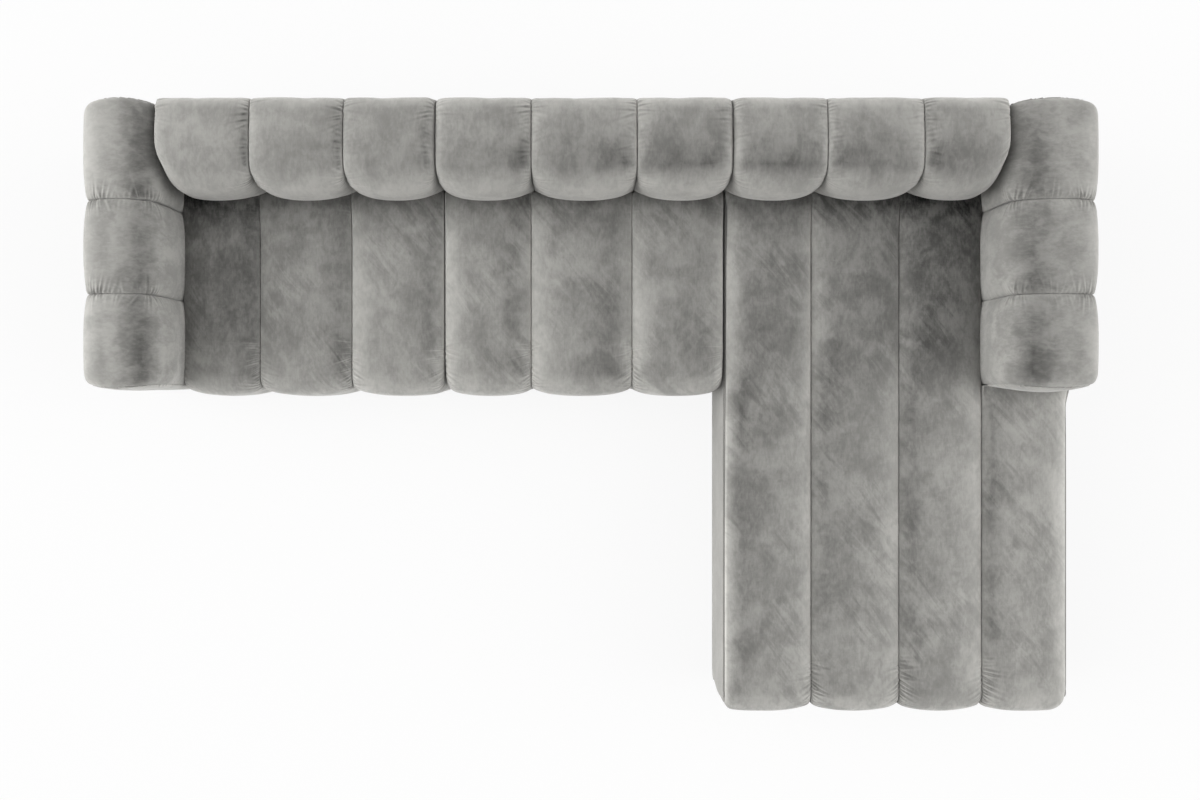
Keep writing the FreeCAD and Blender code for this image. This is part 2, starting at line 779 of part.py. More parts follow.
def outer_side_panel(label, x_face, x_back, x_lip):
    """The chaise's outer side in front of the arm: thick beside the box, thin beside the seat."""
    y_low = y_chaise_front + s.front_leg_thickness + s.fit_gap
    y_high = y_arm_front - s.fit_gap
    back, lip = x_back.value, x_lip.value
    radius = mm.outer_panel_lip
    reach_in = mm.outer_panel_lip - mm.arm_belly

    def section(y, draw):
        face = x_face.value - draw
        z_shoulder = z_side_panel.value - radius
        steps = [
            ((face - mm.arm_belly / 2, mm.skirt_height),),
            ((face, (mm.skirt_height + z_shoulder) / 2), (face - mm.arm_belly / 2, z_shoulder)),
            ((lip, z_side_panel.value),),
            ((lip, z_core_top.value),),
            ((back, z_core_top.value),),
            ((back, mm.skirt_height),),
        ]
        return outline(steps, lambda x, z: FreeCAD.Vector(x, y, z))

    wires = [
        section((y_low + (y_high - y_low) * station).value, reach_in * share)
        for station, share in zip(OUTER_STATION_SHARES, OUTER_DRAW_SHARES)
    ]
    soft_node(label, Part.makeLoft(wires, True, True))


def left_module():
    """The end module with the left arm."""
    rails = (x_left + s.arm_outer_leg + s.fit_gap, x_joint_left - s.joint_recess)
    x_frame = x_left_arm - s.arm_inner_leg - s.fit_gap
    ends = seat_box("left", rails, y_sofa_front, x_frame)
    y_low = y_sofa_front + s.front_leg_thickness + s.fit_gap
    straps("left", (ends[0] + s.fit_gap, ends[1]), y_low, y_box_rear, 4)
    core = ((x_frame + s.fit_gap, rails[1]), (y_low, y_post_front - s.fit_gap))
    node("left_seat_core", [box("left_core_block", *core, (z_straps_top, z_core_top))])
    end = x_joint_left - s.joint_gap / 2
    seat = seam_planes(x_left_arm, end, LEFT_SEAT_SHARES)
    for number, pair in enumerate(seat, start=1):
        seat_channel(f"left_seat_channel_{number}", pair, y_sofa_front, y_seat_rear - s.fit_gap)
    back_frame("left", (x_left_arm + s.fit_gap, rails[1]))
    for number, pair in enumerate(seam_planes(x_left_arm, end, LEFT_BACK_SHARES), start=1):
        back_channel(f"left_back_channel_{number}", pair)
    outer_back("left_outer_back", (x_left_arm, end))
    arm_frame("left", (rails[0], x_frame), z_box_low)
    arm_channels("left", x_left, 1, s.left_arm_width)
    front = (y_arm_front - s.fit_gap, y_sofa_front)
    arm_facing("left_arm_front_facing", x_left, 1, s.left_arm_width, *front, s.skirt_height)
    rear = (y_arm_rear + s.fit_gap, y_rear)
    arm_facing("left_arm_rear_facing", x_left, 1, s.left_arm_width, *rear, s.skirt_height)
    places = foot_places(rails, y_sofa_front)
    dust_cover("left", rails, y_sofa_front, places)
    feet("left", places)
    hooks = [tongue(f"left_tongue_{n}", rails[1], 1, y) for n, y in enumerate(hook_rows())]
    node("left_hook_plates", [plate for plate, _ in hooks])
    screws = [screw for _, pair in hooks for screw in pair]
    node("left_screws", foot_bolts("left", places) + screws)


def centre_module():
    """The armless middle module, which carries every hook pocket."""
    rails = (x_joint_left + s.joint_recess, x_joint_right - s.joint_recess)
    seat_box("centre", rails, y_sofa_front)
    y_low = y_sofa_front + s.front_leg_thickness + s.fit_gap
    straps("centre", rails, y_low, y_box_rear, 4)
    core = (rails, (y_low, y_post_front - s.fit_gap))
    node("centre_seat_core", [box("centre_core_block", *core, (z_straps_top, z_core_top))])
    start, end = x_joint_left + s.joint_gap / 2, x_joint_right - s.joint_gap / 2
    seat = seam_planes(start, end, CENTRE_SEAT_SHARES)
    for number, pair in enumerate(seat, start=1):
        seat_channel(f"centre_seat_channel_{number}", pair, y_sofa_front, y_seat_rear - s.fit_gap)
    back_frame("centre", rails)
    for number, pair in enumerate(seam_planes(start, end, CENTRE_BACK_SHARES), start=1):
        back_channel(f"centre_back_channel_{number}", pair)
    outer_back("centre_outer_back", (start, end))
    places = foot_places(rails, y_sofa_front)
    dust_cover("centre", rails, y_sofa_front, places)
    feet("centre", places)
    hooks = [
        receiver(f"centre_receiver_{side}_{n}", rail, out, y)
        for side, rail, out in (("left", rails[0], -1), ("right", rails[1], 1))
        for n, y in enumerate(hook_rows())
    ]
    node("centre_hook_receivers", [plate for plate, _ in hooks])
    screws = [screw for _, pair in hooks for screw in pair]
    node("centre_screws", foot_bolts("centre", places) + screws)


def chaise_module():
    """The long end module with the right arm, whose seat runs on in front of the arm."""
    x_box = x_right - s.arm_outer_leg - s.fit_gap
    rails = (x_joint_right + s.joint_recess, x_box)
    x_frame = x_right_arm + s.arm_inner_leg + s.fit_gap
    ends = seat_box("chaise", rails, y_chaise_front, x_frame)
    y_low = y_chaise_front + s.front_leg_thickness + s.fit_gap
    straps("chaise", (ends[0], ends[1] - s.fit_gap), y_low, y_box_rear, 8)
    level = (z_straps_top, z_core_top)
    slab = box("chaise_core_slab", rails, (y_low, y_post_front - s.fit_gap), level)
    corner = box(
        "chaise_core_corner",
        (x_frame - s.fit_gap, rails[1] + s.overrun),
        (y_arm_front - s.fit_gap, y_post_front + s.overrun),
        (z_straps_top - s.overrun, z_core_top + s.overrun),
    )
    node("chaise_seat_core", [cut("chaise_core_block", slab, corner)])
    start = x_joint_right + s.joint_gap / 2
    x_seat = x_joint_right + s.joint_recess - s.fit_gap
    seat = seam_planes(x_seat, x_right_arm, CHAISE_SEAT_SHARES)
    for number, pair in enumerate(seat, start=1):
        label = f"chaise_seat_channel_{number}"
        seat_channel(label, pair, y_chaise_front, y_seat_rear - s.fit_gap)
    x_lip = x_right - s.outer_panel_lip
    last = (x_right_arm, x_lip - s.seam_gap)
    y_end = y_arm_front - s.fit_gap
    seat_channel("chaise_seat_channel_4", last, y_chaise_front, y_end, (False, True))
    back_frame("chaise", (rails[0], x_right_arm - s.fit_gap))
    for number, pair in enumerate(seam_planes(start, x_right_arm, CHAISE_BACK_SHARES), start=1):
        back_channel(f"chaise_back_channel_{number}", pair)
    outer_back("chaise_outer_back", (start, x_right_arm))
    arm_frame("chaise", (x_frame, x_box), z_box_top)
    arm_channels("chaise", x_right, -1, s.right_arm_width)
    front = (y_arm_front - s.fit_gap, y_sofa_front)
    z_on_seat = s.seat_height + s.seam_gap
    arm_facing("chaise_arm_front_facing", x_right, -1, s.right_arm_width, *front, z_on_seat)
    rear = (y_arm_rear + s.fit_gap, y_rear)
    arm_facing("chaise_arm_rear_facing", x_right, -1, s.right_arm_width, *rear, s.skirt_height)
    inner_side_panel("chaise_inner_side_panel", start, x_seat)
    outer_side_panel("chaise_outer_side_panel", x_right, x_box + s.fit_gap, x_lip)
    places = foot_places(rails, y_chaise_front)
    dust_cover("chaise", rails, y_chaise_front, places)
    feet("chaise", places)
    hooks = [tongue(f"chaise_tongue_{n}", rails[0], -1, y) for n, y in enumerate(hook_rows())]
    node("chaise_hook_plates", [plate for plate, _ in hooks])
    screws = [screw for _, pair in hooks for screw in pair]
    node("chaise_screws", foot_bolts("chaise", places) + screws)


def check_and_write():
    """Stops if anything failed to build, then writes each sub-part to its own file."""
    doc.recompute()
    failed = [item.Name for item in doc.Objects if {"Invalid", "Error"} & set(item.State)]
    if failed:
        raise RuntimeError(f"these objects failed: {failed}")
    for part in subparts:
        shape = part.Shape
        if shape.isNull() or not shape.isValid() or not shape.Solids:
            raise RuntimeError(f"{part.Label} has no valid solid")
    os.makedirs("parts", exist_ok=True)
    for part in subparts:
        part.Shape.exportStep(f"parts/{part.Label}.step")
    print(f"{len(subparts)} sub-parts written")


left_module()
centre_module()
chaise_module()
check_and_write()
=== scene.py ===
import bpy
import numpy as np
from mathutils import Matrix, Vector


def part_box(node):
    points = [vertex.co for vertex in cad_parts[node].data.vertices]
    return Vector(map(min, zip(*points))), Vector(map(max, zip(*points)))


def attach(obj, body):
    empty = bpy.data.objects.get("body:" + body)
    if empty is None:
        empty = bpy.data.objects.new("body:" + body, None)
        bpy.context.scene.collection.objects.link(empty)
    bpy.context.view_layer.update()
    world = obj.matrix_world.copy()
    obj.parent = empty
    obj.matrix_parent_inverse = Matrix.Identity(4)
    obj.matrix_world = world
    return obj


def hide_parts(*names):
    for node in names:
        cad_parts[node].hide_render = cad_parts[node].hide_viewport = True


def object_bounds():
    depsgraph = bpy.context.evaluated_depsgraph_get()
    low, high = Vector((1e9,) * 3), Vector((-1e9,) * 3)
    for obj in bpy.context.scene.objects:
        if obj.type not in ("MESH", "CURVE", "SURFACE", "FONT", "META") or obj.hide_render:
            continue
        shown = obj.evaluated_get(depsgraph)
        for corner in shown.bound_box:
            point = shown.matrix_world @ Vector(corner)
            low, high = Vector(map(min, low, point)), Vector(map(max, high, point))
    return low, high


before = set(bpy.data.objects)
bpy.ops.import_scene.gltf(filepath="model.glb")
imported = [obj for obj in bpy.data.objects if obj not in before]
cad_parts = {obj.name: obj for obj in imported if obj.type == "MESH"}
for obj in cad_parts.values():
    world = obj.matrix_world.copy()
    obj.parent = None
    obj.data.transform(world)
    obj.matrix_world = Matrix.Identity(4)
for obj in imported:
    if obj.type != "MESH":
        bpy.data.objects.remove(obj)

bl_info = {
    "name": "Modular corner sofa",
    "version": (1, 0, 0),
    "blender": (4, 5, 0),
    "location": "View3D > Sidebar > Corner sofa",
    "description": "Dresses the packed frame of a modular corner sofa in sewn velvet channels",
    "category": "Object",
}

CAD_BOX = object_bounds()
MODULES = {"left": 3, "centre": 3, "chaise": 4}  # seat channels in each module
BACK_CHANNELS = 3
ARM_CHANNELS = 3

SKIRT_DROP = 0.0145  # how far the covers hang below the channels' solids
SNUG = 0.0004  # play between a channel and what it lies on
INSIDE = 0.0003  # how far an arm's or a side panel's skin keeps within its solid's box
LINE_STEP = 0.003  # spacing of the points along a section
PUCKER_SPACING = 0.0115
PUCKER_REACH = 0.11  # no pucker runs further in from its seam
SETTLE_FRAMES = 20
CORNER_STARTS = (0.4855, 1.578)  # X at which the chaise's two free corners begin to turn
CORNER_REACH = (0.045, 0.065)  # how far back along Y the ellipses that they turn by reach
DARKER_NOSE_DEPTH = 0.05  # depth of the seat's nose that is painted darker
BLACK, WHITE = (0.0, 0.0, 0.0, 1.0), (1.0, 1.0, 1.0, 1.0)


# ---------------------------------------------------------------- the sizes a user would change


def length(name, description, default, **limits):
    """A length in metres."""
    return bpy.props.FloatProperty(
        name=name, description=description, default=default, subtype="DISTANCE", unit="LENGTH",
        precision=4, **limits,
    )


def share(name, description, default):
    """A share from nothing to all."""
    return bpy.props.FloatProperty(
        name=name, description=description, default=default, min=0.0, max=1.0, subtype="FACTOR"
    )


def times(name, description, default):
    """A factor."""
    return bpy.props.FloatProperty(name=name, description=description, default=default, min=1.0)


def colour(name, description, default):
    """A colour in linear light."""
    return bpy.props.FloatVectorProperty(
        name=name, description=description, default=default, size=3, min=0.0, max=1.0,
        subtype="COLOR",
    )


class SofaPadding(bpy.types.PropertyGroup):
    """How full the foam channels are and how deep their seams sit."""

    seat_nose: length("Seat nose radius", "Rounding of the seat's front edge", 0.078, min=0.03)
    seat_seam_top: length("Seat seam depth", "Seam depth on the seat's top", 0.032, min=0.0)
    seat_seam_nose: length("Nose seam depth", "Seam depth at the seat's nose", 0.029, min=0.0)
    seat_seam_front: length("Front seam depth", "Seam depth on the seat's front", 0.026, min=0.0)
    nose_bulge: length("Nose bulge", "How far the seat's foam bulges over its front", 0.006)
    under_back: length("Under the back", "How far the seat runs on under the back", 0.020)
    over_panel: length("Over the panels", "How far the chaise bulges over its sides", 0.013)
    back_seam_front: length("Back seam depth", "Seam depth on the back's face", 0.052, min=0.0)
    back_seam_top: length("Back top seam depth", "Seam depth on the back's top", 0.017, min=0.0)
    arm_seam: length("Arm seam depth", "Seam depth on the arms", 0.014, min=0.0)
    joint_round: length("Open end rounding", "Extra rounding where two modules meet", 0.03, min=0.0)
    joint_gap: length("Joint gap", "How far a seat stands back at a module's end", 0.0015, min=0.0)
    arm_pinch: length("Arm pinch", "How far the arms squeeze the back's ends in", 0.115, min=0.0)
    pucker: length("Pucker depth", "Depth of the gathers beside the seams", 0.0060, min=0.0)
    pressure: bpy.props.FloatProperty(
        name="Filling pressure", description="Pressure of the foam while the velvet settles",
        default=4.0, min=0.0,
    )
    most_movement: length("Most movement", "Cap on how far the velvet may settle", 0.009, min=0.0)
    creases: share("Creases", "Share of the settled velvet's creases that is kept", 0.15)
    arm_bow: length("Arm end bow", "How far the arms' ends stand out in the middle", 0.012, min=0.0)


class SofaVelvet(bpy.types.PropertyGroup):
    """The colour of the brushed velvet, the painted sheen and painted shade laid over it, and a
    painted brightness for each part.
    """

    shade: colour("Velvet", "Shade of the pile seen face on", (0.253, 0.249, 0.235))
    # Painted brightness: the one velvet made lighter or darker on the seat, the back and the arms,
    # as the light falls on them.
    seat_painted_brightness: share("Seat brightness", "Brightness of the seat's velvet", 0.87)
    back_painted_brightness: share("Back brightness", "Brightness of the back's velvet", 0.48)
    arm_painted_brightness: share("Arm brightness", "Brightness of the arms' velvet", 0.70)
    mottling: share("Mottling", "Strength of the clouds that brushing leaves", 0.42)
    # Painted sheen: this share and the gains after it set how far the colour lightens where the
    # surface turns away from the camera.
    painted_sheen_share: share("Lustre", "How far the pile brightens where it turns away", 0.95)
    arm_painted_sheen_gain: times("Arm glance", "Brightness of the arms' pile seen from the side", 3.05)
    back_painted_sheen_gain: times("Back glance", "Brightness of the back's pile seen from the side", 5.2)
    seat_painted_sheen_gain: times("Seat glance", "Brightness of the seat's pile seen from the side", 3.9)
    panel_painted_sheen_gain: times("Panel glance", "Brightness of the panels' pile seen from the side", 3.3)
    # Leans the normal that the painted sheen is judged by to the left.
    nap: share("Nap", "How far the pile is combed to the left", 0.14)
    # Painted shade on the seat beside the arms.
    painted_shade_beside_arms: share("Shelter", "How much darker the seat's pile lies beside the arms", 0.48)
    # How much darker the chaise's front, in front of the arm, is.
    chaise_front_darkening: share("Chaise front", "How much darker the chaise's pile is face on", 0.17)
    # Leans the normal of the painted sheen to the right on the chaise's front.
    combed_back: share("Combed back", "How far the chaise's pile is combed to the right", 0.24)
    # Onset and seat onset: powers of the painted sheen's turn.
    onset: bpy.props.FloatProperty(
        name="Onset", description="Power of the turn: lower brightens sooner", default=0.4, min=0.1,
    )
    seat_onset: bpy.props.FloatProperty(
        name="Seat onset", description="The same for the seat's velvet", default=0.6, min=0.1,
    )
    sheen: share("Sheen", "Sheen of the pile's tips", 0.35)


class SofaStage(bpy.types.PropertyGroup):
    """The floor, lights and camera."""

    camera_height: length("Camera height", "Height of the lens over the floor", 4.4, min=1.0)
    lens: bpy.props.FloatProperty(
        name="Lens", description="Focal length", default=35.0, min=10.0, unit="CAMERA"
    )
    lamp_power: bpy.props.FloatProperty(
        name="Lamp power", description="Power of the large lamps together", default=14.0,
        min=0.0, subtype="POWER", unit="POWER",
    )
    world_light: share("World light", "Strength of the even light from all round", 0.36)
    side_light: bpy.props.FloatProperty(
        name="Side light", description="Strength of the soft light from the left and the right",
        default=5.2, min=0.0,
    )
    narrow: bpy.props.FloatProperty(
        name="Narrowness", description="Power that gathers the side light towards the middle line",
        default=8.0, min=0.0,
    )
    lean: share("Lean", "How much more of it comes from the left than from the right", 0.2)
    floor_white: share("Floor", "Lightness of the floor", 0.9)


GROUPS = {"sofa_padding": SofaPadding, "sofa_velvet": SofaVelvet, "sofa_stage": SofaStage}


# ---------------------------------------------------------------- lines that sections follow


def walk(points):
    """Distances walked along a row of points, from 0."""
    return np.concatenate([[0], np.cumsum(np.linalg.norm(np.diff(points, axis=0), axis=1))])


def smooth(share_of_way):
    """Smoothstep of a share t of the way, 3 t^2 - 2 t^3."""
    return share_of_way**2 * (3 - 2 * share_of_way)


def at_even_steps(line, count):
    """A flat line resampled to count points at even distances."""
    walked = walk(line)
    even = np.linspace(0, walked[-1], count)
    return np.stack([np.interp(even, walked, line[:, axis]) for axis in (0, 1)], 1)


def rounded_line(corners, step=LINE_STEP):
    """Straight runs through corners = (a, b, radius), each inner corner turned by a quarter of the
    superellipse |x|^2.2 + |y|^2.2 = r^2.2, and the whole resampled to even steps.

    Returns the points, and the distance along the line at which each corner lies."""
    power = 2.2
    at = np.array([corner[:2] for corner in corners], float)
    turn = np.linspace(0, np.pi / 2, 40)
    leaving, arriving = np.cos(turn) ** (2 / power), np.sin(turn) ** (2 / power)
    runs, marks = [at[:1]], [0]
    for before, here, after, corner in zip(at, at[1:], at[2:], corners[1:]):
        back = (here - before) / np.linalg.norm(here - before)
        on = (after - here) / np.linalg.norm(after - here)
        radius = corner[2]
        runs.append(
            here - radius * back * (1 - arriving)[:, None] + radius * on * (1 - leaving)[:, None]
        )
        marks.append(sum(map(len, runs)) - len(turn) // 2)
    runs.append(at[-1:])
    marks.append(sum(map(len, runs)) - 1)
    line = np.concatenate(runs)
    walked = walk(line)
    return at_even_steps(line, int(walked[-1] / step) + 2), walked[marks]


def swell(run, start, end, height):
    """A smooth hump between two distances: height times sin squared of the share of the way."""
    return height * np.sin(np.pi * np.clip((run - start) / (end - start), 0, 1)) ** 2


class Line:
    """The crown line of a channel in its flat section, with outward normals."""

    def __init__(self, corners, outward, humps=()):
        points, self.marks = rounded_line(corners)
        self.run = np.linspace(0, self.marks[-1], len(points))
        slope = np.gradient(points, axis=0)
        slope /= np.linalg.norm(slope, axis=1)[:, None]
        self.normals = outward * np.stack([slope[:, 1], -slope[:, 0]], 1)
        hump = sum((swell(self.run, *one) for one in humps), np.zeros(len(points)))
        self.points = points + self.normals * hump[:, None]

    def along(self, shares):
        """Points, normals and distances at shares of the whole line."""
        run = np.asarray(shares) * self.run[-1]
        points, normals = (
            np.stack([np.interp(run, self.run, table[:, axis]) for axis in (0, 1)], 1)
            for table in (self.points, self.normals)
        )
        return points, normals / np.linalg.norm(normals, axis=1)[:, None], run


def eased(run, stops):
    """Values at distances run, eased between (distance, value) stops by smoothstep."""
    places, values = np.array(stops, float).T
    index = np.clip(np.searchsorted(places, run, side="right") - 1, 0, len(places) - 2)
    share_of_way = np.clip(
        (run - places[index]) / np.maximum(places[index + 1] - places[index], 1e-9), 0, 1
    )
    return values[index] + (values[index + 1] - values[index]) * smooth(share_of_way)


# ---------------------------------------------------------------- sewn channels


class End:
    """One edge of a channel: its seam, and the corner that it may turn.

    draw and power are stops for the seam's depth D and the power p of its crown
    D (1 - (1 - |1 - 2u|^p)^(1/p)). corner = (stops for the depth a, reach b, part q) adds
    a (1 - sqrt(1 - (x / b)^2)) over the last q metres, the plan of an elliptic corner.
    push = (stops, reach b, part q, direction) moves the skin the same way, but along one
    direction of the section. gathers are (start, end, strength, and a lean where they have
    one) spells of puckers."""

    def __init__(self, draw, power, corner=None, gathers=(), push=None):
        self.draw, self.power, self.corner, self.gathers = draw, power, corner, gathers
        self.push = push

    def depth(self, run, share_in, reach_in):
        """How far the surface lies under the crown line."""
        draw = eased(run, self.draw)[:, None]
        power = eased(run, self.power)[:, None]
        away = np.clip(1 - 2 * share_in, 0, 1)[None, :]
        depth = draw * (1 - (1 - away**power) ** (1 / power))
        if self.corner:
            stops, across, part = self.corner
            depth = depth + eased(run, stops)[:, None] * ellipse(reach_in, across, part)
        return depth

    def pushed(self, run, reach_in):
        """How far the skin is pushed along its direction of the section."""
        stops, across, part, direction = self.push
        amount = eased(run, stops)[:, None] * ellipse(reach_in, across, part)
        return amount[..., None] * np.array(direction, float)


def ellipse(reach_in, across, part):
    """1 - sqrt(1 - (x / b)^2) over the last part of the way to an edge, as one row."""
    beyond = np.clip(part - reach_in, 0, across)[None, :] / across
    return 1 - np.sqrt(1 - beyond**2)


def furrow(q, valley=1.0, ridge=0.5):
    """Depth of a pucker across it: a valley exp(-q^2 / 2), less a ridge of the same width whose
    middle is at q = 2.1."""
    return valley * np.exp(-(q**2) / 2) - ridge * np.exp(-((q - 2.1) ** 2) / 2)


def gathered(run, reach_in, gathers, depth, seed):
    """Puckers beside a seam: each is a narrow valley with a ridge on one flank, at a right angle
    to the seam or fanned a little, and it fades with the distance from the seam."""
    random = np.random.default_rng(seed)
    field = np.zeros((len(run), len(reach_in)))
    for start, end, strength, *lean in gathers:
        count = max(int(abs(end - start) / PUCKER_SPACING), 2)
        places = np.linspace(start, end, count) + random.uniform(-0.004, 0.004, count)
        long = random.uniform(0.012, 0.040, count)
        wide = random.uniform(0.0020, 0.0036, count)
        slant = (places - (start + end) / 2) / (end - start) * 0.9 + random.normal(0, 0.16, count)
        slant += sum(lean)
        share_of_way = np.clip((places - start) / (end - start), 0.02, 0.98)
        size = strength * depth * random.uniform(0.45, 1.0, count)
        size *= np.sin(np.pi * share_of_way) ** 0.5
        near = (run > start - 0.03) & (run < end + 0.03)
        q = (run[near, None, None] - places - slant * reach_in[None, :, None]) / wide
        fade = np.exp(-((reach_in[None, :, None] / long) ** 1.5))
        field[near] += (furrow(q, valley=0.6, ridge=0.8) * fade * size).sum(-1)
    return field


class Channel:
    """A sewn foam channel: a crown line carried across from low to high and drawn in at both
    edges, P(u, s) = C(s) - n(s) depth(u, s), with a plain inner skin behind it.

    place puts points of the section and distances across it into the frame. across is the axis
    on which the limits hold, free is how far past them each end may stand, and settled is how
    far the simulation moved the skin."""

    def __init__(self, name, line, inner, limits, ends, across, place, seed, free=(0, 0)):
        self.name, self.line, self.inner, self.limits = name, line, np.array(inner), limits
        self.ends, self.across, self.place, self.seed = ends, across, place, seed
        self.free, self.settled = free, None

    @staticmethod
    def columns(count):
        """Shares across the channel, closer together towards the seams."""
        even = np.linspace(0, 1, count)
        return 0.7 * (0.5 - 0.5 * np.cos(np.pi * even)) + 0.3 * even

    def skin(self, rows, count, pucker=0.0):
        """The outer skin as a grid of rows along the line and columns across it."""
        points, normals, run = self.line.along(np.linspace(0, 1, rows))
        shares = self.columns(count)
        low, high = self.limits
        width = high - low
        depth = np.zeros((rows, count))
        sides = list(zip(self.ends, (shares, 1 - shares)))
        for end, share_in in sides:
            half = share_in <= 0.5
            depth[:, half] = end.depth(run, share_in[half], share_in[half] * width)
        for side, (end, share_in) in enumerate(sides):
            if pucker and end.gathers:
                reach_in = share_in * width
                close = reach_in < PUCKER_REACH
                depth[:, close] += gathered(
                    run, reach_in[close], end.gathers, pucker, self.seed * 7 + side
                )
        flat = points[:, None, :] - normals[:, None, :] * depth[..., None]
        for end, share_in in sides:
            if end.push:
                flat = flat + end.pushed(run, share_in * width)
        return self.place(flat[..., 0], flat[..., 1], low + width * shares[None, :])

    def rows(self, step):
        """How many rows an even step gives."""
        return int(self.line.run[-1] / step) + 2

    def mesh_parts(self, pucker, step=LINE_STEP, count=48):
        """The fine outer skin, the inner skin's two edges and the outer's cloth coordinates."""
        rows = self.rows(step)
        outer = self.skin(rows, count, pucker)
        if self.settled is not None:
            coarse_rows, coarse_count = self.settled.shape[:2]
            along = cubic_weights(np.linspace(0, coarse_rows - 1, rows), coarse_rows)
            over = cubic_weights(np.linspace(0, coarse_count - 1, count), coarse_count)
            outer = outer + np.einsum("rc,cdk,ud->ruk", along, self.settled, over)
        low, high = self.limits
        flat = at_even_steps(self.inner, rows)
        inner = self.place(flat[:, :1], flat[:, 1:], np.array([[low, high]]))
        if self.across is not None:
            least, most = low - self.free[0], high + self.free[1]
            outer[..., self.across] = np.clip(outer[..., self.across], least, most)
        run = np.linspace(0, self.line.run[-1], rows)
        cloth = np.stack(np.meshgrid(low + (high - low) * self.columns(count), run), -1)
        return outer, inner, cloth


def cubic_weights(places, count):
    """Catmull-Rom weights that read a row of count values at places between them."""
    index = np.clip(np.floor(places).astype(int), 0, count - 2)
    t = (places - index)[:, None]
    weights = 0.5 * np.concatenate(
        [-t + 2 * t**2 - t**3, 2 - 5 * t**2 + 3 * t**3, t + 4 * t**2 - 3 * t**3, -(t**2) + t**3], 1
    )
    matrix = np.zeros((len(places), count))
    for shift in range(4):
        column = np.clip(index + shift - 1, 0, count - 1)
        np.add.at(matrix, (np.arange(len(places)), column), weights[:, shift])
    return matrix


def settle(channels, padding, cell=0.014):
    """Cloth simulation: each channel's skin, as a coarse sheet sewn down at its edges, swells
    under the pressure of the foam for SETTLE_FRAMES. How far each point moved is kept, capped by
    most tanh(d / most)."""
    scene = bpy.context.scene
    sheets = []
    for channel in channels:
        rows = channel.rows(cell)
        count = max(int((channel.limits[1] - channel.limits[0]) / cell), 8)
        grid = channel.skin(rows, count)
        mesh = bpy.data.meshes.new("sheet")
        mesh.from_pydata(grid.reshape(-1, 3).tolist(), [], quads(rows, count).tolist())
        sheet = bpy.data.objects.new("sheet", mesh)
        scene.collection.objects.link(sheet)
        if signed_volume(grid.reshape(-1, 3), mesh) < 0:
            mesh.flip_normals()
        row, column = np.divmod(np.arange(rows * count), count)
        border = (row == 0) | (row == rows - 1) | (column == 0) | (column == count - 1)
        sheet.vertex_groups.new(name="sewn").add(np.flatnonzero(border).tolist(), 1.0, "REPLACE")
        cloth = sheet.modifiers.new("cloth", "CLOTH")
        cloth.settings.quality = 6
        cloth.settings.mass = 0.25
        cloth.settings.use_pressure = True
        cloth.settings.uniform_pressure_force = padding.pressure
        cloth.settings.effector_weights.gravity = 0
        cloth.settings.vertex_group_mass = "sewn"
        cloth.settings.shrink_min = -0.035
        cloth.point_cache.frame_start = 1
        cloth.point_cache.frame_end = SETTLE_FRAMES
        sheets.append((channel, sheet, grid))
    for number in range(1, SETTLE_FRAMES + 1):
        scene.frame_set(number)
    graph = bpy.context.evaluated_depsgraph_get()
    for channel, sheet, grid in sheets:
        flat = np.empty(grid.size)
        sheet.evaluated_get(graph).data.vertices.foreach_get("co", flat)
        moved = without_creases(flat.reshape(grid.shape) - grid, padding.creases)
        far = np.linalg.norm(moved, axis=2, keepdims=True)
        most = padding.most_movement
        channel.settled = moved * (most * np.tanh(far / most) / np.maximum(far, 1e-9))
        mesh = sheet.data
        bpy.data.objects.remove(sheet)
        bpy.data.meshes.remove(mesh)
    scene.frame_set(1)


def without_creases(moved, kept, rounds=12):
    """The broad swelling of a grid of movements: each point is averaged with its neighbours as
    1-2-1 in a number of rounds, the border held still, and a share of the creases is put back."""
    broad = moved.copy()
    for _ in range(rounds):
        broad[1:-1] = (broad[:-2] + 2 * broad[1:-1] + broad[2:]) / 4
        broad[:, 1:-1] = (broad[:, :-2] + 2 * broad[:, 1:-1] + broad[:, 2:]) / 4
    return broad + kept * (moved - broad)


def quads(rows, count, start=0):
    """Faces of a grid of rows by count points."""
    corner = start + (np.arange(rows - 1)[:, None] * count + np.arange(count - 1)[None, :])
    return np.stack([corner, corner + 1, corner + count + 1, corner + count], -1).reshape(-1, 4)


def ring_quads(rings, count):
    """Faces between rings of count points each, closed round."""
    here, after = np.arange(count), (np.arange(count) + 1) % count
    start = np.arange(rings - 1)[:, None] * count
    faces = [start + here, start + after, start + count + after, start + count + here]
    return np.stack(faces, -1).reshape(-1, 4)


def capped_tube(rings, sides):
    """Faces of a tube of rings, with both its ends closed."""
    here = np.arange(sides)
    caps = [here[::-1].tolist(), ((rings - 1) * sides + here).tolist()]
    return ring_quads(rings, sides).tolist() + caps


def signed_volume(points, mesh):
    """Volume under the mesh's faces as fans from their first corner, negative if inside out."""
    mesh.calc_loop_triangles()
    triangles = np.empty(len(mesh.loop_triangles) * 3, int)
    mesh.loop_triangles.foreach_get("vertices", triangles)
    a, b, c = np.moveaxis(points[triangles.reshape(-1, 3)], 1, 0)
    middle = points.mean(0)
    return np.einsum("ij,ij->i", a - middle, np.cross(b - middle, c - middle)).sum()


def new_piece(name, points, faces, cloth=None, flat_from=None):
    """A mesh object at the origin with outward faces, smooth but for the faces after flat_from."""
    mesh = bpy.data.meshes.new(name)
    mesh.from_pydata(points.tolist(), [], faces)
    if signed_volume(points, mesh) < 0:
        mesh.flip_normals()
    rounded = np.ones(len(mesh.polygons), bool)
    if flat_from is not None:
        rounded[flat_from:] = False
    mesh.polygons.foreach_set("use_smooth", rounded)
    if cloth is not None:
        corners = np.empty(len(mesh.loops), int)
        mesh.loops.foreach_get("vertex_index", corners)
        mesh.uv_layers.new(name="cloth").data.foreach_set("uv", cloth[corners].ravel())
    piece = bpy.data.objects.new(name, mesh)
    bpy.context.scene.collection.objects.link(piece)
    return piece


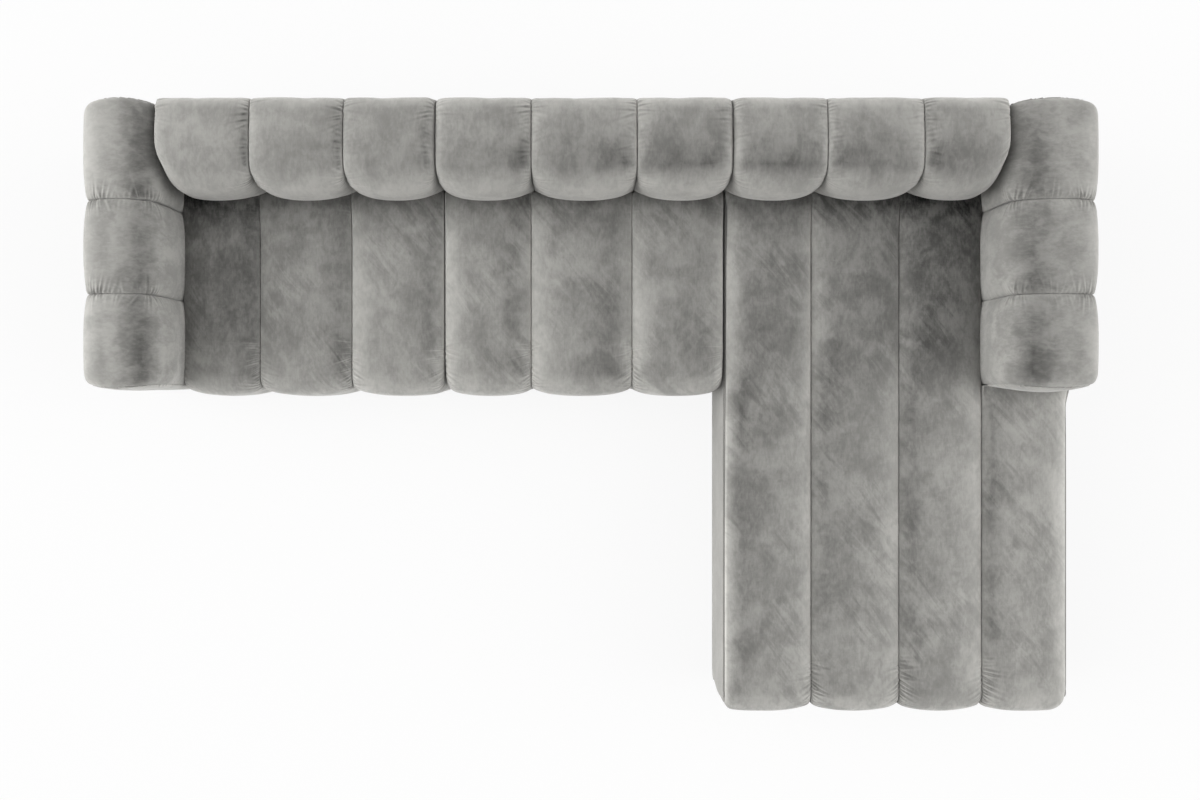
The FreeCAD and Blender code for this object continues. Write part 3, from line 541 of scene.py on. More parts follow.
def sew(channel, pucker, **fineness):
    """The closed mesh of a channel: outer skin, inner skin, flat cheeks at the seams and caps."""
    outer, inner, cloth = channel.mesh_parts(pucker, **fineness)
    rows, count = outer.shape[:2]
    inner_start = rows * count
    row = np.arange(rows - 1)
    left = inner_start + row * 2
    skin = quads(rows, count)
    back = np.stack([left, left + 2, left + 3, left + 1], 1)
    low_edge, high_edge = row * count, row * count + count - 1
    low_cheek = np.stack([low_edge, low_edge + count, left + 2, left], 1)
    high_cheek = np.stack([high_edge, left + 1, left + 3, high_edge + count], 1)
    last_row = (rows - 1) * count
    caps = [
        list(range(count)) + [inner_start + 1, inner_start],
        list(range(last_row + count - 1, last_row - 1, -1))
        + [inner_start + 2 * rows - 2, inner_start + 2 * rows - 1],
    ]
    faces = np.concatenate([skin, back, low_cheek, high_cheek]).tolist() + caps
    points = np.concatenate([outer.reshape(-1, 3), inner.reshape(-1, 3)])
    cloth = np.concatenate([cloth.reshape(-1, 2), cloth[:, [0, -1]].reshape(-1, 2)])
    cloth += np.random.default_rng(channel.seed).uniform(0, 40, 2)
    return new_piece(channel.name, points, faces, cloth, flat_from=len(skin))


def finish(piece, module, node, material):
    """Says what a piece rides on, stands for and is made of."""
    piece.data.materials.append(material)
    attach(piece, f"{module}_module")
    if node:
        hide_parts(node)


def finish_pad(piece, module, node, material):
    """The same for a padded piece."""
    finish(piece, module, node, material)


def along_x(first, second, across):
    """A section in Y and Z carried along X."""
    return np.stack(np.broadcast_arrays(across, first, second), -1)


def along_y(x_outer, inward):
    """A section of distances in from an outer face, and heights, carried along Y."""

    def place(first, second, across):
        return np.stack(np.broadcast_arrays(x_outer + inward * first, across, second), -1)

    return place


# ---------------------------------------------------------------- seat, back and arm channels


def seat_channel(module, number, padding, seed):
    """One seat channel: over the core, round the nose and down the front to the skirt."""
    node = f"{module}_seat_channel_{number}"
    low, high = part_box(node)
    z_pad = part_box(f"{module}_seat_core")[1].z + SNUG
    y_front, z_top, z_skirt = low.y - padding.nose_bulge, high.z, low.z - SKIRT_DROP
    under_arm = module == "chaise" and number == MODULES[module]
    y_rear = high.y if under_arm else high.y + padding.under_back
    corners = [
        (y_rear, z_pad, 0),
        (y_rear, z_top - 0.003, 0.012),
        (high.y - 0.16, z_top, 0.08),
        (y_front, z_top, padding.seat_nose),
        (y_front + 0.012, z_skirt, 0.016),
        (y_front + 0.052, z_skirt, 0),
    ]
    rough = rounded_line(corners)[1]
    line = Line(corners, 1, [(rough[3] + 0.03, rough[4] - 0.02, 0.004)])
    back_top, flat, tip, skirt, end = line.marks[1:]
    inner = [(y_rear - 0.03, z_pad), (y_front + 0.062, z_pad), (y_front + 0.062, z_skirt)]
    top, front = padding.seat_seam_top, padding.seat_seam_front
    draw = [
        (0, top * 0.25), (back_top, top * 0.4), (flat, top), (tip - 0.16, top),
        (tip, padding.seat_seam_nose), (tip + 0.12, front), (skirt - 0.03, front * 0.8), (end, 0),
    ]
    power = [(0, 2.2), (tip - 0.16, 2.0), (tip, 1.9), (end, 2.0)]
    gathers = [
        (tip - 0.175, tip - 0.02, 1.25, 0.35), (tip - 0.02, tip + 0.08, 0.8), (0.12, 0.20, 0.25),
    ]
    open_draw = [(distance, value * 0.8) for distance, value in draw]
    turned = [
        (0, 0), (flat, 0.003), (tip - 0.14, 0.006), (tip, padding.joint_round),
        (tip + 0.1, 0.018), (skirt, 0.012), (end, 0),
    ]
    corner = (turned, 0.045, 0.045)
    left_end, right_end = low.x, high.x
    ends = [End(draw, power, gathers=gathers), End(draw, power, gathers=gathers)]
    if module == "chaise" and number == 1:
        left_end -= padding.over_panel * 0.7
        ends[0] = chaise_corner(line, CORNER_REACH[0], 0.030, CORNER_STARTS[0] - left_end)
    elif under_arm:
        right_end += padding.over_panel
        ends[1] = chaise_corner(line, CORNER_REACH[1], 0.062, right_end - CORNER_STARTS[1])
        shallow = [(0, 0.002), (0.07, 0.006), (0.16, top)]
        ends[0] = End(shallow + draw[3:], power, gathers=gathers[:2])
    elif number == 1 and module == "centre":
        ends[0] = End(open_draw, power, corner, gathers)
        left_end += padding.joint_gap
    elif number == MODULES[module] and module != "chaise":
        ends[1] = End(open_draw, power, corner, gathers)
        right_end -= padding.joint_gap
    return Channel(node, line, inner, (left_end, right_end), ends, 0, along_x, seed)


def chaise_corner(line, deep, across, part, drop=0.046):
    """The chaise's free corners, rounded in plan as an ellipse, and rolled over at the top."""
    tip, skirt, end = line.marks[3:]
    draw = [
        (0, 0.002), (0.07, 0.004), (0.16, drop), (tip - 0.065, drop), (tip, drop * 0.4),
        (tip + 0.06, 0.003), (skirt, 0.002), (end, 0),
    ]
    power = [(0, 3.6), (tip - 0.065, 3.6), (tip, 3.0), (end, 2.2)]
    stops = [
        (0, 0), (tip - 0.08, 0.002), (tip, deep * 0.7), (tip + 0.06, deep), (skirt - 0.01, deep),
        (end, deep * 0.7),
    ]
    return End(draw, power, (stops, across, part))


def back_channel(module, number, padding, seed):
    """One back channel: up the face, over the shoulder and the top, down to the rear lip."""
    node = f"{module}_back_channel_{number}"
    low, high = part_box(node)
    y_face, z_top = low.y + 0.002, high.z
    _, y_foot, z_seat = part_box(f"{module}_seat_channel_1")[1]
    z_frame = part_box(f"{module}_back_frame")[1].z + SNUG
    corners = [
        (y_foot + 0.003, low.z, 0),
        (y_foot + 0.001, z_seat, 0.03),
        (y_face, z_seat + 0.075, 0.05),
        (y_face + 0.005, z_top - 0.009, 0.088),
        (high.y, z_top - 0.009, 0.052),
        (high.y, z_frame, 0),
    ]
    rough = rounded_line(corners)[1]
    line = Line(corners, -1, [(rough[3] - 0.01, rough[4] + 0.01, 0.010)])
    seat, face, shoulder, rear, end = line.marks[1:]
    frame_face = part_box(f"{module}_back_frame")[0].y - SNUG
    inner = [(frame_face, low.z), (frame_face, z_frame), (high.y - 0.02, z_frame)]
    deep, top = padding.back_seam_front, padding.back_seam_top
    draw = [
        (0, 0.018), (seat, 0.022), (seat + 0.03, 0.034), (face, deep), (shoulder - 0.03, deep),
        (shoulder + 0.07, top), (rear - 0.06, top), (rear + 0.02, top * 0.6), (end, 0.004),
    ]
    power = [(0, 2.2), (face, 2.2), (shoulder, 2.3), (shoulder + 0.08, 3.2), (end, 2.4)]
    gathers = [
        (shoulder - 0.09, shoulder + 0.035, 0.9),
        (shoulder + 0.04, rear - 0.10, 0.3),
        (rear - 0.10, rear + 0.02, 0.75),
        (face - 0.02, face + 0.05, 0.4),
    ]
    corner = ([(0, 0), (face, 0.008), (shoulder, 0.014), (rear, 0.014), (end, 0)], 0.035, 0.035)
    pinch = padding.arm_pinch
    stops = [(0, 0), (seat, pinch * 0.1), (face, pinch), (shoulder, pinch),
             (shoulder + 0.10, pinch * 0.45), (rear - 0.05, 0), (end, 0)]
    push = (stops, 0.086, 0.086, (1, 0))
    plain = End(draw, power, gathers=gathers)
    beside_arm = End(draw, power, gathers=gathers, push=push)
    open_end = End(draw, power, corner, gathers)
    ends = [plain, plain]
    if number == 1:
        ends[0] = beside_arm if module == "left" else open_end
    if number == BACK_CHANNELS:
        ends[1] = beside_arm if module == "chaise" else open_end
    return Channel(node, line, inner, (low.x, high.x), ends, 0, along_x, seed)


def arm_channel(module, number, padding, seed):
    """One arm channel: up the outer side, over the top and down the inner side to the seat."""
    node = f"{module}_arm_channel_{number}"
    low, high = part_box(node)
    inward = 1 if module == "left" else -1
    x_outer = CAD_BOX[0].x if module == "left" else CAD_BOX[1].x
    x_outer += INSIDE * inward
    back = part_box(f"{module}_arm_channel_1")
    x_inner = (back[1].x if module == "left" else back[0].x) - INSIDE * inward
    wide = abs(x_inner - x_outer)
    z_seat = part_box(f"{module}_seat_channel_1")[1].z
    z_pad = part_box(f"{module}_seat_core")[1].z + SNUG
    z_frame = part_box(f"{module}_arm_frame")[1].z + SNUG
    z_skirt = low.z - SKIRT_DROP
    corners = [
        (0.009, z_skirt, 0),
        (0.0005, 0.30, 0.06),
        (0.003, high.z - 0.008, 0.082),
        (wide - 0.002, high.z - 0.008, 0.076),
        (wide, z_seat + 0.01, 0.02),
        (wide, z_pad, 0),
    ]
    rough = rounded_line(corners)[1]
    humps = [(rough[2] + 0.01, rough[3] - 0.01, 0.0065)]
    if number > 1:
        humps.append((rough[3] + 0.03, rough[4] + 0.005, 0.011))
    line = Line(corners, -1, humps)
    side, shoulder, inner_shoulder, seat, end = line.marks[1:]
    leg = 0.05
    inner = [(leg, z_skirt), (leg, z_frame), (wide - leg, z_frame), (wide - leg, z_pad)]
    deep = padding.arm_seam
    inside = 0.004 if number == 1 else deep * 1.9
    middle = (shoulder + inner_shoulder) / 2
    draw = [
        (0, deep * 0.5), (side, deep * 0.9), (shoulder, deep * 1.1), (middle, deep * 0.6),
        (inner_shoulder, max(deep, inside * 0.8)), (inner_shoulder + 0.1, inside), (end, 0.002),
    ]
    power = [(0, 2.2), (shoulder - 0.05, 2.2), (shoulder + 0.06, 2.6),
             (inner_shoulder, 2.4), (end, 2.2)]
    gathers = [
        (shoulder - 0.055, shoulder + 0.085, 1.3),
        (shoulder + 0.08, inner_shoulder - 0.05, 0.5),
        (inner_shoulder - 0.045, inner_shoulder + 0.06, 1.2),
        (side + 0.1, shoulder - 0.07, 0.3),
    ]
    turned = [(0, 0.014), (side, 0.022), (shoulder, 0.018), (middle, 0.010),
              (inner_shoulder, 0.014), (seat, 0.012), (end, 0.004)]
    ends = [End(draw, power, gathers=gathers), End(draw, power, gathers=gathers)]
    free, bow = [0, 0], padding.arm_bow
    for outermost, side_of in ((1, 1), (ARM_CHANNELS, 0)):
        if number == outermost:
            ends[side_of] = End([(0, 0), (end, 0)], power, (turned, 0.036, 0.036))
            free[side_of] = bow
    plain = along_y(x_outer, inward)
    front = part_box(f"{module}_arm_channel_{ARM_CHANNELS}")[0].y
    rear, fading = back[1].y, 0.14

    def place(first, second, across):
        """Stands the arm's two end seams out, most in the middle of the arm's top."""
        points = plain(first, second, across)
        stand = bow * arched(points[..., 0], points[..., 2], (x_outer + x_inner) / 2, wide, high.z)
        points[..., 1] += stand * np.clip(1 - (rear - points[..., 1]) / fading, 0, 1) ** 2
        points[..., 1] -= stand * np.clip(1 - (points[..., 1] - front) / fading, 0, 1) ** 2
        return points

    return Channel(node, line, inner, (low.y, high.y), ends, 1, place, seed, free)


def arched(x, z, middle, wide, top):
    """The share of a bow at a point of an arm's end: 1 - (2 (x - middle) / width)^2 across, and
    from nothing at half the height to all at the top, eased."""
    up = np.clip((z - top / 2) / (top / 2), 0, 1)
    return np.clip(1 - (2 * (x - middle) / wide) ** 2, 0, 1) * smooth(up)


def side_panel(side, padding, seed):
    """One long side panel of the chaise: from the skirt up, over its top edge to the channel's
    seam, with its front end turned round the chaise's corner. Returns it and the seam."""
    node = f"chaise_{side}_side_panel"
    low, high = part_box(node)
    number, column = (1, 0) if side == "inner" else (MODULES["chaise"], -1)
    channel = seat_channel("chaise", number, padding, 0)
    seam = channel.skin(channel.rows(0.005), 24)[:, column]
    front = int(np.argmax(seam[:, 1] < seam[:, 1].min() + 0.004))
    y_front, x_in = seam[front, 1], seam[0, 0]
    y_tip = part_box(f"chaise_seat_channel_{number}")[0].y
    z_low, z_top = low.z - SKIRT_DROP, 0.402  # the top before it is stretched to the seam
    if side == "inner":
        x_out, outward, across, bend = low.x + INSIDE, -1, CORNER_REACH[0], 0.004
    else:
        x_out, outward, across, bend = high.x, 1, CORNER_REACH[1], 0.010
    corners = [(x_in, z_low, 0), (x_out, z_low, 0.006), (x_out, z_top, bend), (x_in, z_top, 0)]
    foot, top, end = Line(corners, outward).marks[1:]
    line = Line(corners, outward, [(foot + 0.03, top - 0.02, 0.003)])
    inner = [(x_in - 0.001 * outward, z_low), (x_in - 0.001 * outward, z_top)]
    part = y_tip + across - y_front
    deep = (abs(x_out - x_in) - 0.002) / (1 - np.sqrt(1 - (part / across) ** 2))
    turned = [(0, deep), (end, deep)]
    ends = (
        End([(0, 0), (end, 0)], [(0, 2), (end, 2)], (turned, across, part)),
        End([(0, 0.002), (end, 0.002)], [(0, 2), (end, 2)]),
    )
    over, down = seam[: front + 1][::-1], seam[front:][::-1]
    down = down[down[:, 2] > z_low + 0.008]

    def place(first, second, along):
        """Stretches the panel's height to the seam, and bends its front end to it."""
        first, second, along = np.broadcast_arrays(first, second, along)
        top_here = np.interp(along, over[:, 1], over[:, 2])
        height = z_low + (second - z_low) * (top_here - z_low) / (z_top - z_low)
        shift = np.interp(height, down[:, 2], down[:, 1]) - y_front
        near = np.clip(1 - (along - y_front) / 0.12, 0, 1) ** 2
        return np.stack([first, along + shift * near, height], -1)

    panel = Channel(node, line, inner, (y_front, high.y), ends, None, place, seed)
    return panel, seam


def welt(name, points, radius, sides=10):
    """A round piping along a seam: P + r (cos f N + sin f B), with N square to the seam and to
    X, and B along X. Its ends are closed."""
    slope = np.gradient(points, axis=0)
    slope /= np.linalg.norm(slope, axis=1)[:, None]
    across = np.tile([1.0, 0.0, 0.0], (len(points), 1))
    normal = np.cross(slope, across)
    turn = np.linspace(0, 2 * np.pi, sides, endpoint=False)
    ring = (
        np.cos(turn)[None, :, None] * normal[:, None]
        + np.sin(turn)[None, :, None] * across[:, None]
    )
    tube = (points[:, None] + radius * ring).reshape(-1, 3)
    faces = capped_tube(len(points), sides)
    cloth = np.stack(np.meshgrid(turn * radius, walk(points)), -1).reshape(-1, 2)
    return new_piece(name, tube, faces, cloth, flat_from=len(faces) - 2)


# ---------------------------------------------------------------- puffed panels


def panel_outline(size, radii, step=0.005):
    """Points round a rectangle of width and height centred on zero, with its corners rounded:
    radii for the low corners and the high corners."""
    wide, high = size[0] / 2, size[1] / 2
    low_round, high_round = radii
    corners = [
        (0, -high, 0), (wide, -high, low_round), (wide, high, high_round),
        (-wide, high, high_round), (-wide, -high, low_round), (0, -high, 0),
    ]
    return rounded_line(corners, step)[0][:-1]


def end_outline(section, z_foot, step=0.005, inset=0.001):
    """The outline that closes a channel's end: its section in X and Z, straight down to the foot,
    in even steps, with its corners eased and drawn in a little. Returns it and its middle."""
    flat = section[section[:, 2] > z_foot][:, [0, 2]]
    loop = np.concatenate([flat, [(flat[-1, 0], z_foot), (flat[0, 0], z_foot)], flat[:1]])
    loop = at_even_steps(loop, int(walk(loop)[-1] / step))[:-1]
    for _ in range(4):
        loop = (np.roll(loop, 1, 0) + 2 * loop + np.roll(loop, -1, 0)) / 4
    middle = (loop.max(0) + loop.min(0)) / 2
    return (loop - middle) * (1 - 2 * inset / np.ptp(loop, axis=0)), middle


def puffed_panel(name, outline, radii_power, place, seam, rise, seed, pucker, rings=30):
    """A panel sewn all round: rings are scaled copies of the outline, r from 1 at the seam to
    nearly 0, and it stands seam + rise (1 - r^p)^(1/p) (0.7 + 0.3 (1 - a^2) (1 - b^2)) over its
    flat back, with a and b the shares of the half width and height."""
    count = len(outline)
    r = 1 - (1 - np.cos(np.linspace(0, np.pi / 2, rings))) * 0.985
    flat = outline[None, :, :] * r[:, None, None]
    half = np.abs(outline).max(0)
    a, b = flat[..., 0] / half[0], flat[..., 1] / half[1]
    crown = (1 - r**radii_power)[:, None] ** (1 / radii_power)
    height = seam + rise * crown * (0.7 + 0.3 * (1 - a**2) * (1 - b**2))
    walked = walk(outline)
    random = np.random.default_rng(seed)
    reach = np.linalg.norm(outline, axis=1)[None, :] * (1 - r)[:, None]
    spots = int(walked[-1] / 0.013)
    places = np.linspace(0, walked[-1], spots, endpoint=False)
    places += random.uniform(-0.004, 0.004, spots)
    long = random.uniform(0.008, 0.026, spots)
    size = pucker * random.uniform(0.0, 1.0, spots) ** 2
    for place_on, reach_of, deep in zip(places, long, size):
        valley = furrow((walked - place_on) / 0.0028)
        height -= deep * valley[None, :] * np.exp(-((reach / reach_of) ** 1.5))
    rim = place(outline[:, 0], outline[:, 1], np.zeros(count))
    dome = place(flat[..., 0], flat[..., 1], height)
    points = np.concatenate([dome.reshape(-1, 3), rim])
    here, after = np.arange(count), (np.arange(count) + 1) % count
    start = rings * count
    wall = np.stack([start + here, start + after, after, here], 1)
    faces = ring_quads(rings, count).tolist() + wall.tolist()
    faces.append(((rings - 1) * count + here).tolist())
    rounded = len(faces)
    faces.append((start + here)[::-1].tolist())
    cloth = np.concatenate([flat.reshape(-1, 2), outline]) + random.uniform(0, 40, 2)
    return new_piece(name, points, faces, cloth, flat_from=rounded)


# ---------------------------------------------------------------- node groups and materials


def new_group(name, inputs, outputs):
    """A shader node group with its sockets made: inputs and outputs are name to kind or default."""
    group = bpy.data.node_groups.new(name, "ShaderNodeTree")
    for socket, default in inputs.items():
        kind = "NodeSocketColor" if isinstance(default, tuple) else "NodeSocketFloat"
        kind = "NodeSocketVector" if default is None else kind
        made = group.interface.new_socket(name=socket, in_out="INPUT", socket_type=kind)
        if default is not None:
            made.default_value = default
    for socket, kind in outputs.items():
        group.interface.new_socket(name=socket, in_out="OUTPUT", socket_type=f"NodeSocket{kind}")
    return group, group.nodes.new("NodeGroupInput"), group.nodes.new("NodeGroupOutput")


class Net:
    """Short ways to add nodes to a tree and link them."""

    def __init__(self, tree):
        self.tree = tree

    def set(self, socket, value):
        """Links a socket, or sets a plain value."""
        if isinstance(value, bpy.types.NodeSocket):
            self.tree.links.new(value, socket)
        else:
            socket.default_value = value

    def add(self, kind, inputs=None, **settings):
        """A node with its settings and inputs."""
        node = self.tree.nodes.new(f"ShaderNode{kind}")
        for key, value in settings.items():
            setattr(node, key, value)
        for key, value in (inputs or {}).items():
            self.set(node.inputs[key], value)
        return node

    def math(self, operation, first, second=0.0, third=0.0):
        """A Math node's value."""
        node = self.add("Math", {0: first, 1: second, 2: third}, operation=operation)
        return node.outputs[0]

    def noise(self, vector, scale, detail=3.0, rough=0.5, distortion=0.0):
        """Noise around a half."""
        inputs = {"Vector": vector, "Scale": scale, "Detail": detail, "Roughness": rough,
                  "Distortion": distortion}
        return self.add("TexNoise", inputs).outputs["Fac"]

    def stretch(self, vector, scale, turn=0.0):
        """The vector turned about Z, and then scaled."""
        if turn:
            inputs = {"Vector": vector, "Rotation": (0.0, 0.0, turn)}
            vector = self.add("Mapping", inputs).outputs[0]
        return self.add("Mapping", {"Vector": vector, "Scale": scale}).outputs[0]

    def remap(self, value, low, high, to_low=0.0, to_high=1.0):
        """Value from one range to another, eased."""
        node = self.add(
            "MapRange",
            {"Value": value, "From Min": low, "From Max": high,
             "To Min": to_low, "To Max": to_high},
            interpolation_type="SMOOTHSTEP",
        )
        return node.outputs["Result"]

    def mix(self, share_of, first, second):
        """Two colours mixed."""
        node = self.add("Mix", data_type="RGBA", clamp_factor=True)
        for index, value in ((0, share_of), (6, first), (7, second)):
            self.set(node.inputs[index], value)
        return node.outputs[2]

    def seen_plainly(self):
        """1 for the rays that show a thing itself, in glass and on metal too, and 0 for light."""
        path = self.add("LightPath").outputs
        seen = self.math("MAXIMUM", path["Is Camera Ray"], path["Is Glossy Ray"])
        return self.math("MAXIMUM", seen, path["Is Transmission Ray"])

    def dress(self, shader, tone, roughness, height, strength, distance):
        """Links a shader's colour and roughness, and a bump of a height to its normal."""
        self.set(shader.inputs["Base Color"], tone)
        self.set(shader.inputs["Roughness"], roughness)
        inputs = {"Height": height, "Strength": strength, "Distance": distance}
        self.set(shader.inputs["Normal"], self.add("Bump", inputs).outputs["Normal"])


def pile_group():
    """Brushed pile: clouds, crossing streaks and finger strokes as one brightness, and the fine
    nap as a height."""
    group, given, out = new_group(
        "brushed_pile",
        {"Vector": None, "Clouds": 0.5, "Streaks": 0.3, "Strokes": 0.3},
        {"Brightness": "Float", "Height": "Float"},
    )
    net = Net(group)
    vector = given.outputs["Vector"]
    clouds = net.remap(net.noise(vector, 5.5, 2.0, 0.5, 0.8), 0.30, 0.70, -1.0, 1.0)
    patches = net.noise(net.stretch(vector, (21.0, 13.0, 1.0)), 1.0, 3.0, 0.6, 0.5)
    patches = net.remap(patches, 0.30, 0.70, -1.0, 1.0)
    flecks = net.noise(net.stretch(vector, (85.0, 45.0, 1.0)), 1.0, 3.0, 0.6, 0.4)
    flecks = net.remap(flecks, 0.30, 0.70, -1.0, 1.0)
    across = net.noise(net.stretch(vector, (38.0, 210.0, 1.0)), 1.0, 3.0, 0.65)
    along = net.noise(net.stretch(vector, (230.0, 34.0, 1.0)), 1.0, 3.0, 0.65)
    lines = net.math("SUBTRACT", net.math("MULTIPLY_ADD", across, 0.6, along), 0.8)
    stroke = net.noise(net.stretch(vector, (6.0, 34.0, 1.0), -0.9), 1.0, 3.0, 0.6, 0.7)
    where = net.remap(net.noise(net.stretch(vector, (1.0, 1.0, 1.0), 0.4), 4.0, 1.0), 0.46, 0.62)
    strokes = net.math("MULTIPLY", net.remap(stroke, 0.38, 0.66, 0.6, -1.0), where)
    mixed = net.math("MULTIPLY_ADD", flecks, 0.55, clouds)
    mixed = net.math("MULTIPLY_ADD", patches, 0.75, mixed)
    total = net.math("MULTIPLY", mixed, given.outputs["Clouds"])
    total = net.math("MULTIPLY_ADD", lines, given.outputs["Streaks"], total)
    total = net.math("MULTIPLY_ADD", strokes, given.outputs["Strokes"], total)
    nap = net.noise(vector, 900.0, 2.0, 0.6)
    height = net.math("MULTIPLY_ADD", lines, 0.8, nap)
    group.links.new(total, out.inputs["Brightness"])
    group.links.new(height, out.inputs["Height"])
    return group


def new_material(name):
    """A material, its net and its shader."""
    material = bpy.data.materials.new(name)
    material.use_nodes = True
    tree = material.node_tree
    shader = tree.nodes["Principled BSDF"]
    return material, Net(tree), shader


def velvet(name, shade, brightness, onset, painted_sheen_gain, settings, clouds, streaks, strokes):
    """Brushed velvet in one shade: the pile group brightens and darkens it, and roughens it.
    Painted sheen lightens its colour where the surface turns away from the camera, for camera rays
    only, judged by a normal that leans to one side; a painted shade, read from a point attribute,
    darkens it towards black."""
    material, net, shader = new_material(name)
    place = net.add("UVMap", uv_map="cloth").outputs["UV"]
    pile = net.add("Group", node_tree=bpy.data.node_groups["brushed_pile"])
    net.set(pile.inputs["Vector"], place)
    pile.inputs["Clouds"].default_value = clouds * settings.mottling
    pile.inputs["Streaks"].default_value = streaks
    pile.inputs["Strokes"].default_value = strokes
    base = [value * brightness for value in shade]
    light = [min(value * 1.5, 1.0) for value in base]
    dark = [value * 0.5 for value in base]
    amount = net.remap(pile.outputs["Brightness"], -1.0, 1.0)
    face_on = net.mix(amount, (*dark, 1.0), (*light, 1.0))
    # the normal that the painted sheen is judged by: the surface's own, leaned to the left, and to
    # the right on the chaise's front
    painted_sheen_normal = net.add("TexCoord").outputs["Normal"]
    combed_back = net.add("Attribute", attribute_name="combed_back").outputs["Fac"]
    lean = net.add("CombineXYZ", {"X": net.math("SUBTRACT", combed_back, settings.nap)})
    painted_sheen_normal = net.add("VectorMath", {0: painted_sheen_normal, 1: lean.outputs[0]}, operation="ADD")
    painted_sheen_normal = net.add(
        "VectorTransform", {"Vector": painted_sheen_normal.outputs["Vector"]}, vector_type="NORMAL",
        convert_from="OBJECT", convert_to="WORLD",
    )
    # painted sheen: the colour turns from the face-on colour to a brighter copy where the surface
    # turns away from the camera, for camera rays only
    turned = net.add("LayerWeight", {"Blend": 0.5, "Normal": painted_sheen_normal.outputs["Vector"]})
    turned = net.math("POWER", turned.outputs["Facing"], onset)
    turned = net.math("MULTIPLY", turned, settings.painted_sheen_share)
    turned = net.math("MULTIPLY", turned, net.add("LightPath").outputs["Is Camera Ray"])
    # the brighter copy that the painted sheen turns to
    low, high = (
        (*(min(value * painted_sheen_gain * reach, 1.0) for value in base), 1.0)
        for reach in (0.86, 1.14)
    )
    painted_sheen_colour = net.mix(amount, low, high)
    patchy = net.remap(pile.outputs["Brightness"], -0.45, 0.45, 1.2, 0.8)
    # painted shade, read from a point attribute, darkens the colour towards black
    lies_away = net.add("Attribute", attribute_name="lies_away").outputs["Fac"]
    lies_away = net.math("MULTIPLY", lies_away, patchy)
    colour_with_painted_light = net.mix(lies_away, net.mix(turned, face_on, painted_sheen_colour), BLACK)
    roughness = net.remap(pile.outputs["Brightness"], -1.0, 1.0, 0.92, 0.72)
    net.dress(shader, colour_with_painted_light, roughness, pile.outputs["Height"], 0.35, 0.0006)
    shader.inputs["Specular IOR Level"].default_value = 0.25
    shader.inputs["Sheen Weight"].default_value = settings.sheen
    shader.inputs["Sheen Roughness"].default_value = 0.45
    shader.inputs["Sheen Tint"].default_value = (0.9, 0.89, 0.88, 1.0)
    return material


def grain_group():
    """Straight-grained softwood: rings stretched along X as a mask, and fibres as a height."""
    group, given, out = new_group(
        "timber_grain", {"Vector": None, "Rings": 14.0}, {"Mask": "Float", "Height": "Float"}
    )
    net = Net(group)
    vector = net.stretch(given.outputs["Vector"], (0.6, 6.0, 6.0))
    bent = net.noise(vector, 2.0, 3.0, 0.5, 0.4)
    rings = net.math("MULTIPLY", net.math("MULTIPLY", bent, given.outputs["Rings"]), 6.0)
    rings = net.math("SINE", rings)
    fibres = net.noise(net.stretch(given.outputs["Vector"], (12.0, 420.0, 420.0)), 1.0, 2.0, 0.6)
    mask = net.math("MULTIPLY_ADD", rings, 0.28, net.math("MULTIPLY_ADD", fibres, 0.6, 0.2))
    group.links.new(mask, out.inputs["Mask"])
    group.links.new(fibres, out.inputs["Height"])
    return group


def timber(name):
    """Pale softwood of a sofa frame."""
    grain_group()
    material, net, shader = new_material(name)
    place = net.add("TexCoord").outputs["Object"]
    grain = net.add("Group", {"Vector": place}, node_tree=bpy.data.node_groups["timber_grain"])
    wood = net.mix(grain.outputs["Mask"], (0.52, 0.36, 0.20, 1.0), (0.30, 0.18, 0.085, 1.0))
    roughness = net.remap(grain.outputs["Mask"], 0.0, 1.0, 0.5, 0.75)
    net.dress(shader, wood, roughness, grain.outputs["Height"], 0.3, 0.0005)
    return material


def zinc(name):
    """Zinc-plated steel with its faint spangle."""
    material, net, shader = new_material(name)
    place = net.add("TexCoord").outputs["Object"]
    spangle = net.add("TexVoronoi", {"Vector": place, "Scale": 160.0}).outputs["Distance"]
    scuffs = net.noise(place, 60.0, 4.0, 0.6)
    tone = net.mix(spangle, (0.50, 0.51, 0.53, 1.0), (0.66, 0.67, 0.68, 1.0))
    net.dress(shader, tone, net.remap(scuffs, 0.3, 0.7, 0.28, 0.5), scuffs, 0.15, 0.0003)
    shader.inputs["Metallic"].default_value = 1.0
    return material


def moulded(name):
    """Black moulded plastic with a fine spark-eroded surface."""
    material, net, shader = new_material(name)
    place = net.add("TexCoord").outputs["Object"]
    fine = net.noise(place, 1400.0, 2.0, 0.5)
    dust = net.noise(place, 25.0, 3.0, 0.6)
    tone = net.remap(dust, 0.4, 0.8)
    tone = net.mix(tone, (0.018, 0.018, 0.018, 1.0), (0.05, 0.05, 0.048, 1.0))
    net.dress(shader, tone, net.remap(dust, 0.3, 0.7, 0.42, 0.6), fine, 0.25, 0.0003)
    return material


def woven(name, warp, weft, pitch, rough=0.85):
    """A plain weave in two colours: sine ribs across each other at the pitch of the threads."""
    material, net, shader = new_material(name)
    place = net.add("UVMap", uv_map="cloth").outputs["UV"]
    parts = net.add("SeparateXYZ", {"Vector": place})
    turns = 2 * np.pi / pitch
    ribs = net.math("SINE", net.math("MULTIPLY", parts.outputs["X"], turns))
    picks = net.math("SINE", net.math("MULTIPLY", parts.outputs["Y"], turns * 0.8))
    over = net.math("MULTIPLY", ribs, picks)
    fuzz = net.noise(place, 700.0, 2.0, 0.6)
    amount = net.remap(net.math("MULTIPLY_ADD", fuzz, 0.5, over), -1.0, 1.4)
    roughness = net.remap(fuzz, 0.3, 0.7, rough, min(rough + 0.1, 1.0))
    net.dress(shader, net.mix(amount, warp, weft), roughness, over, 0.5, pitch * 0.2)
    return material


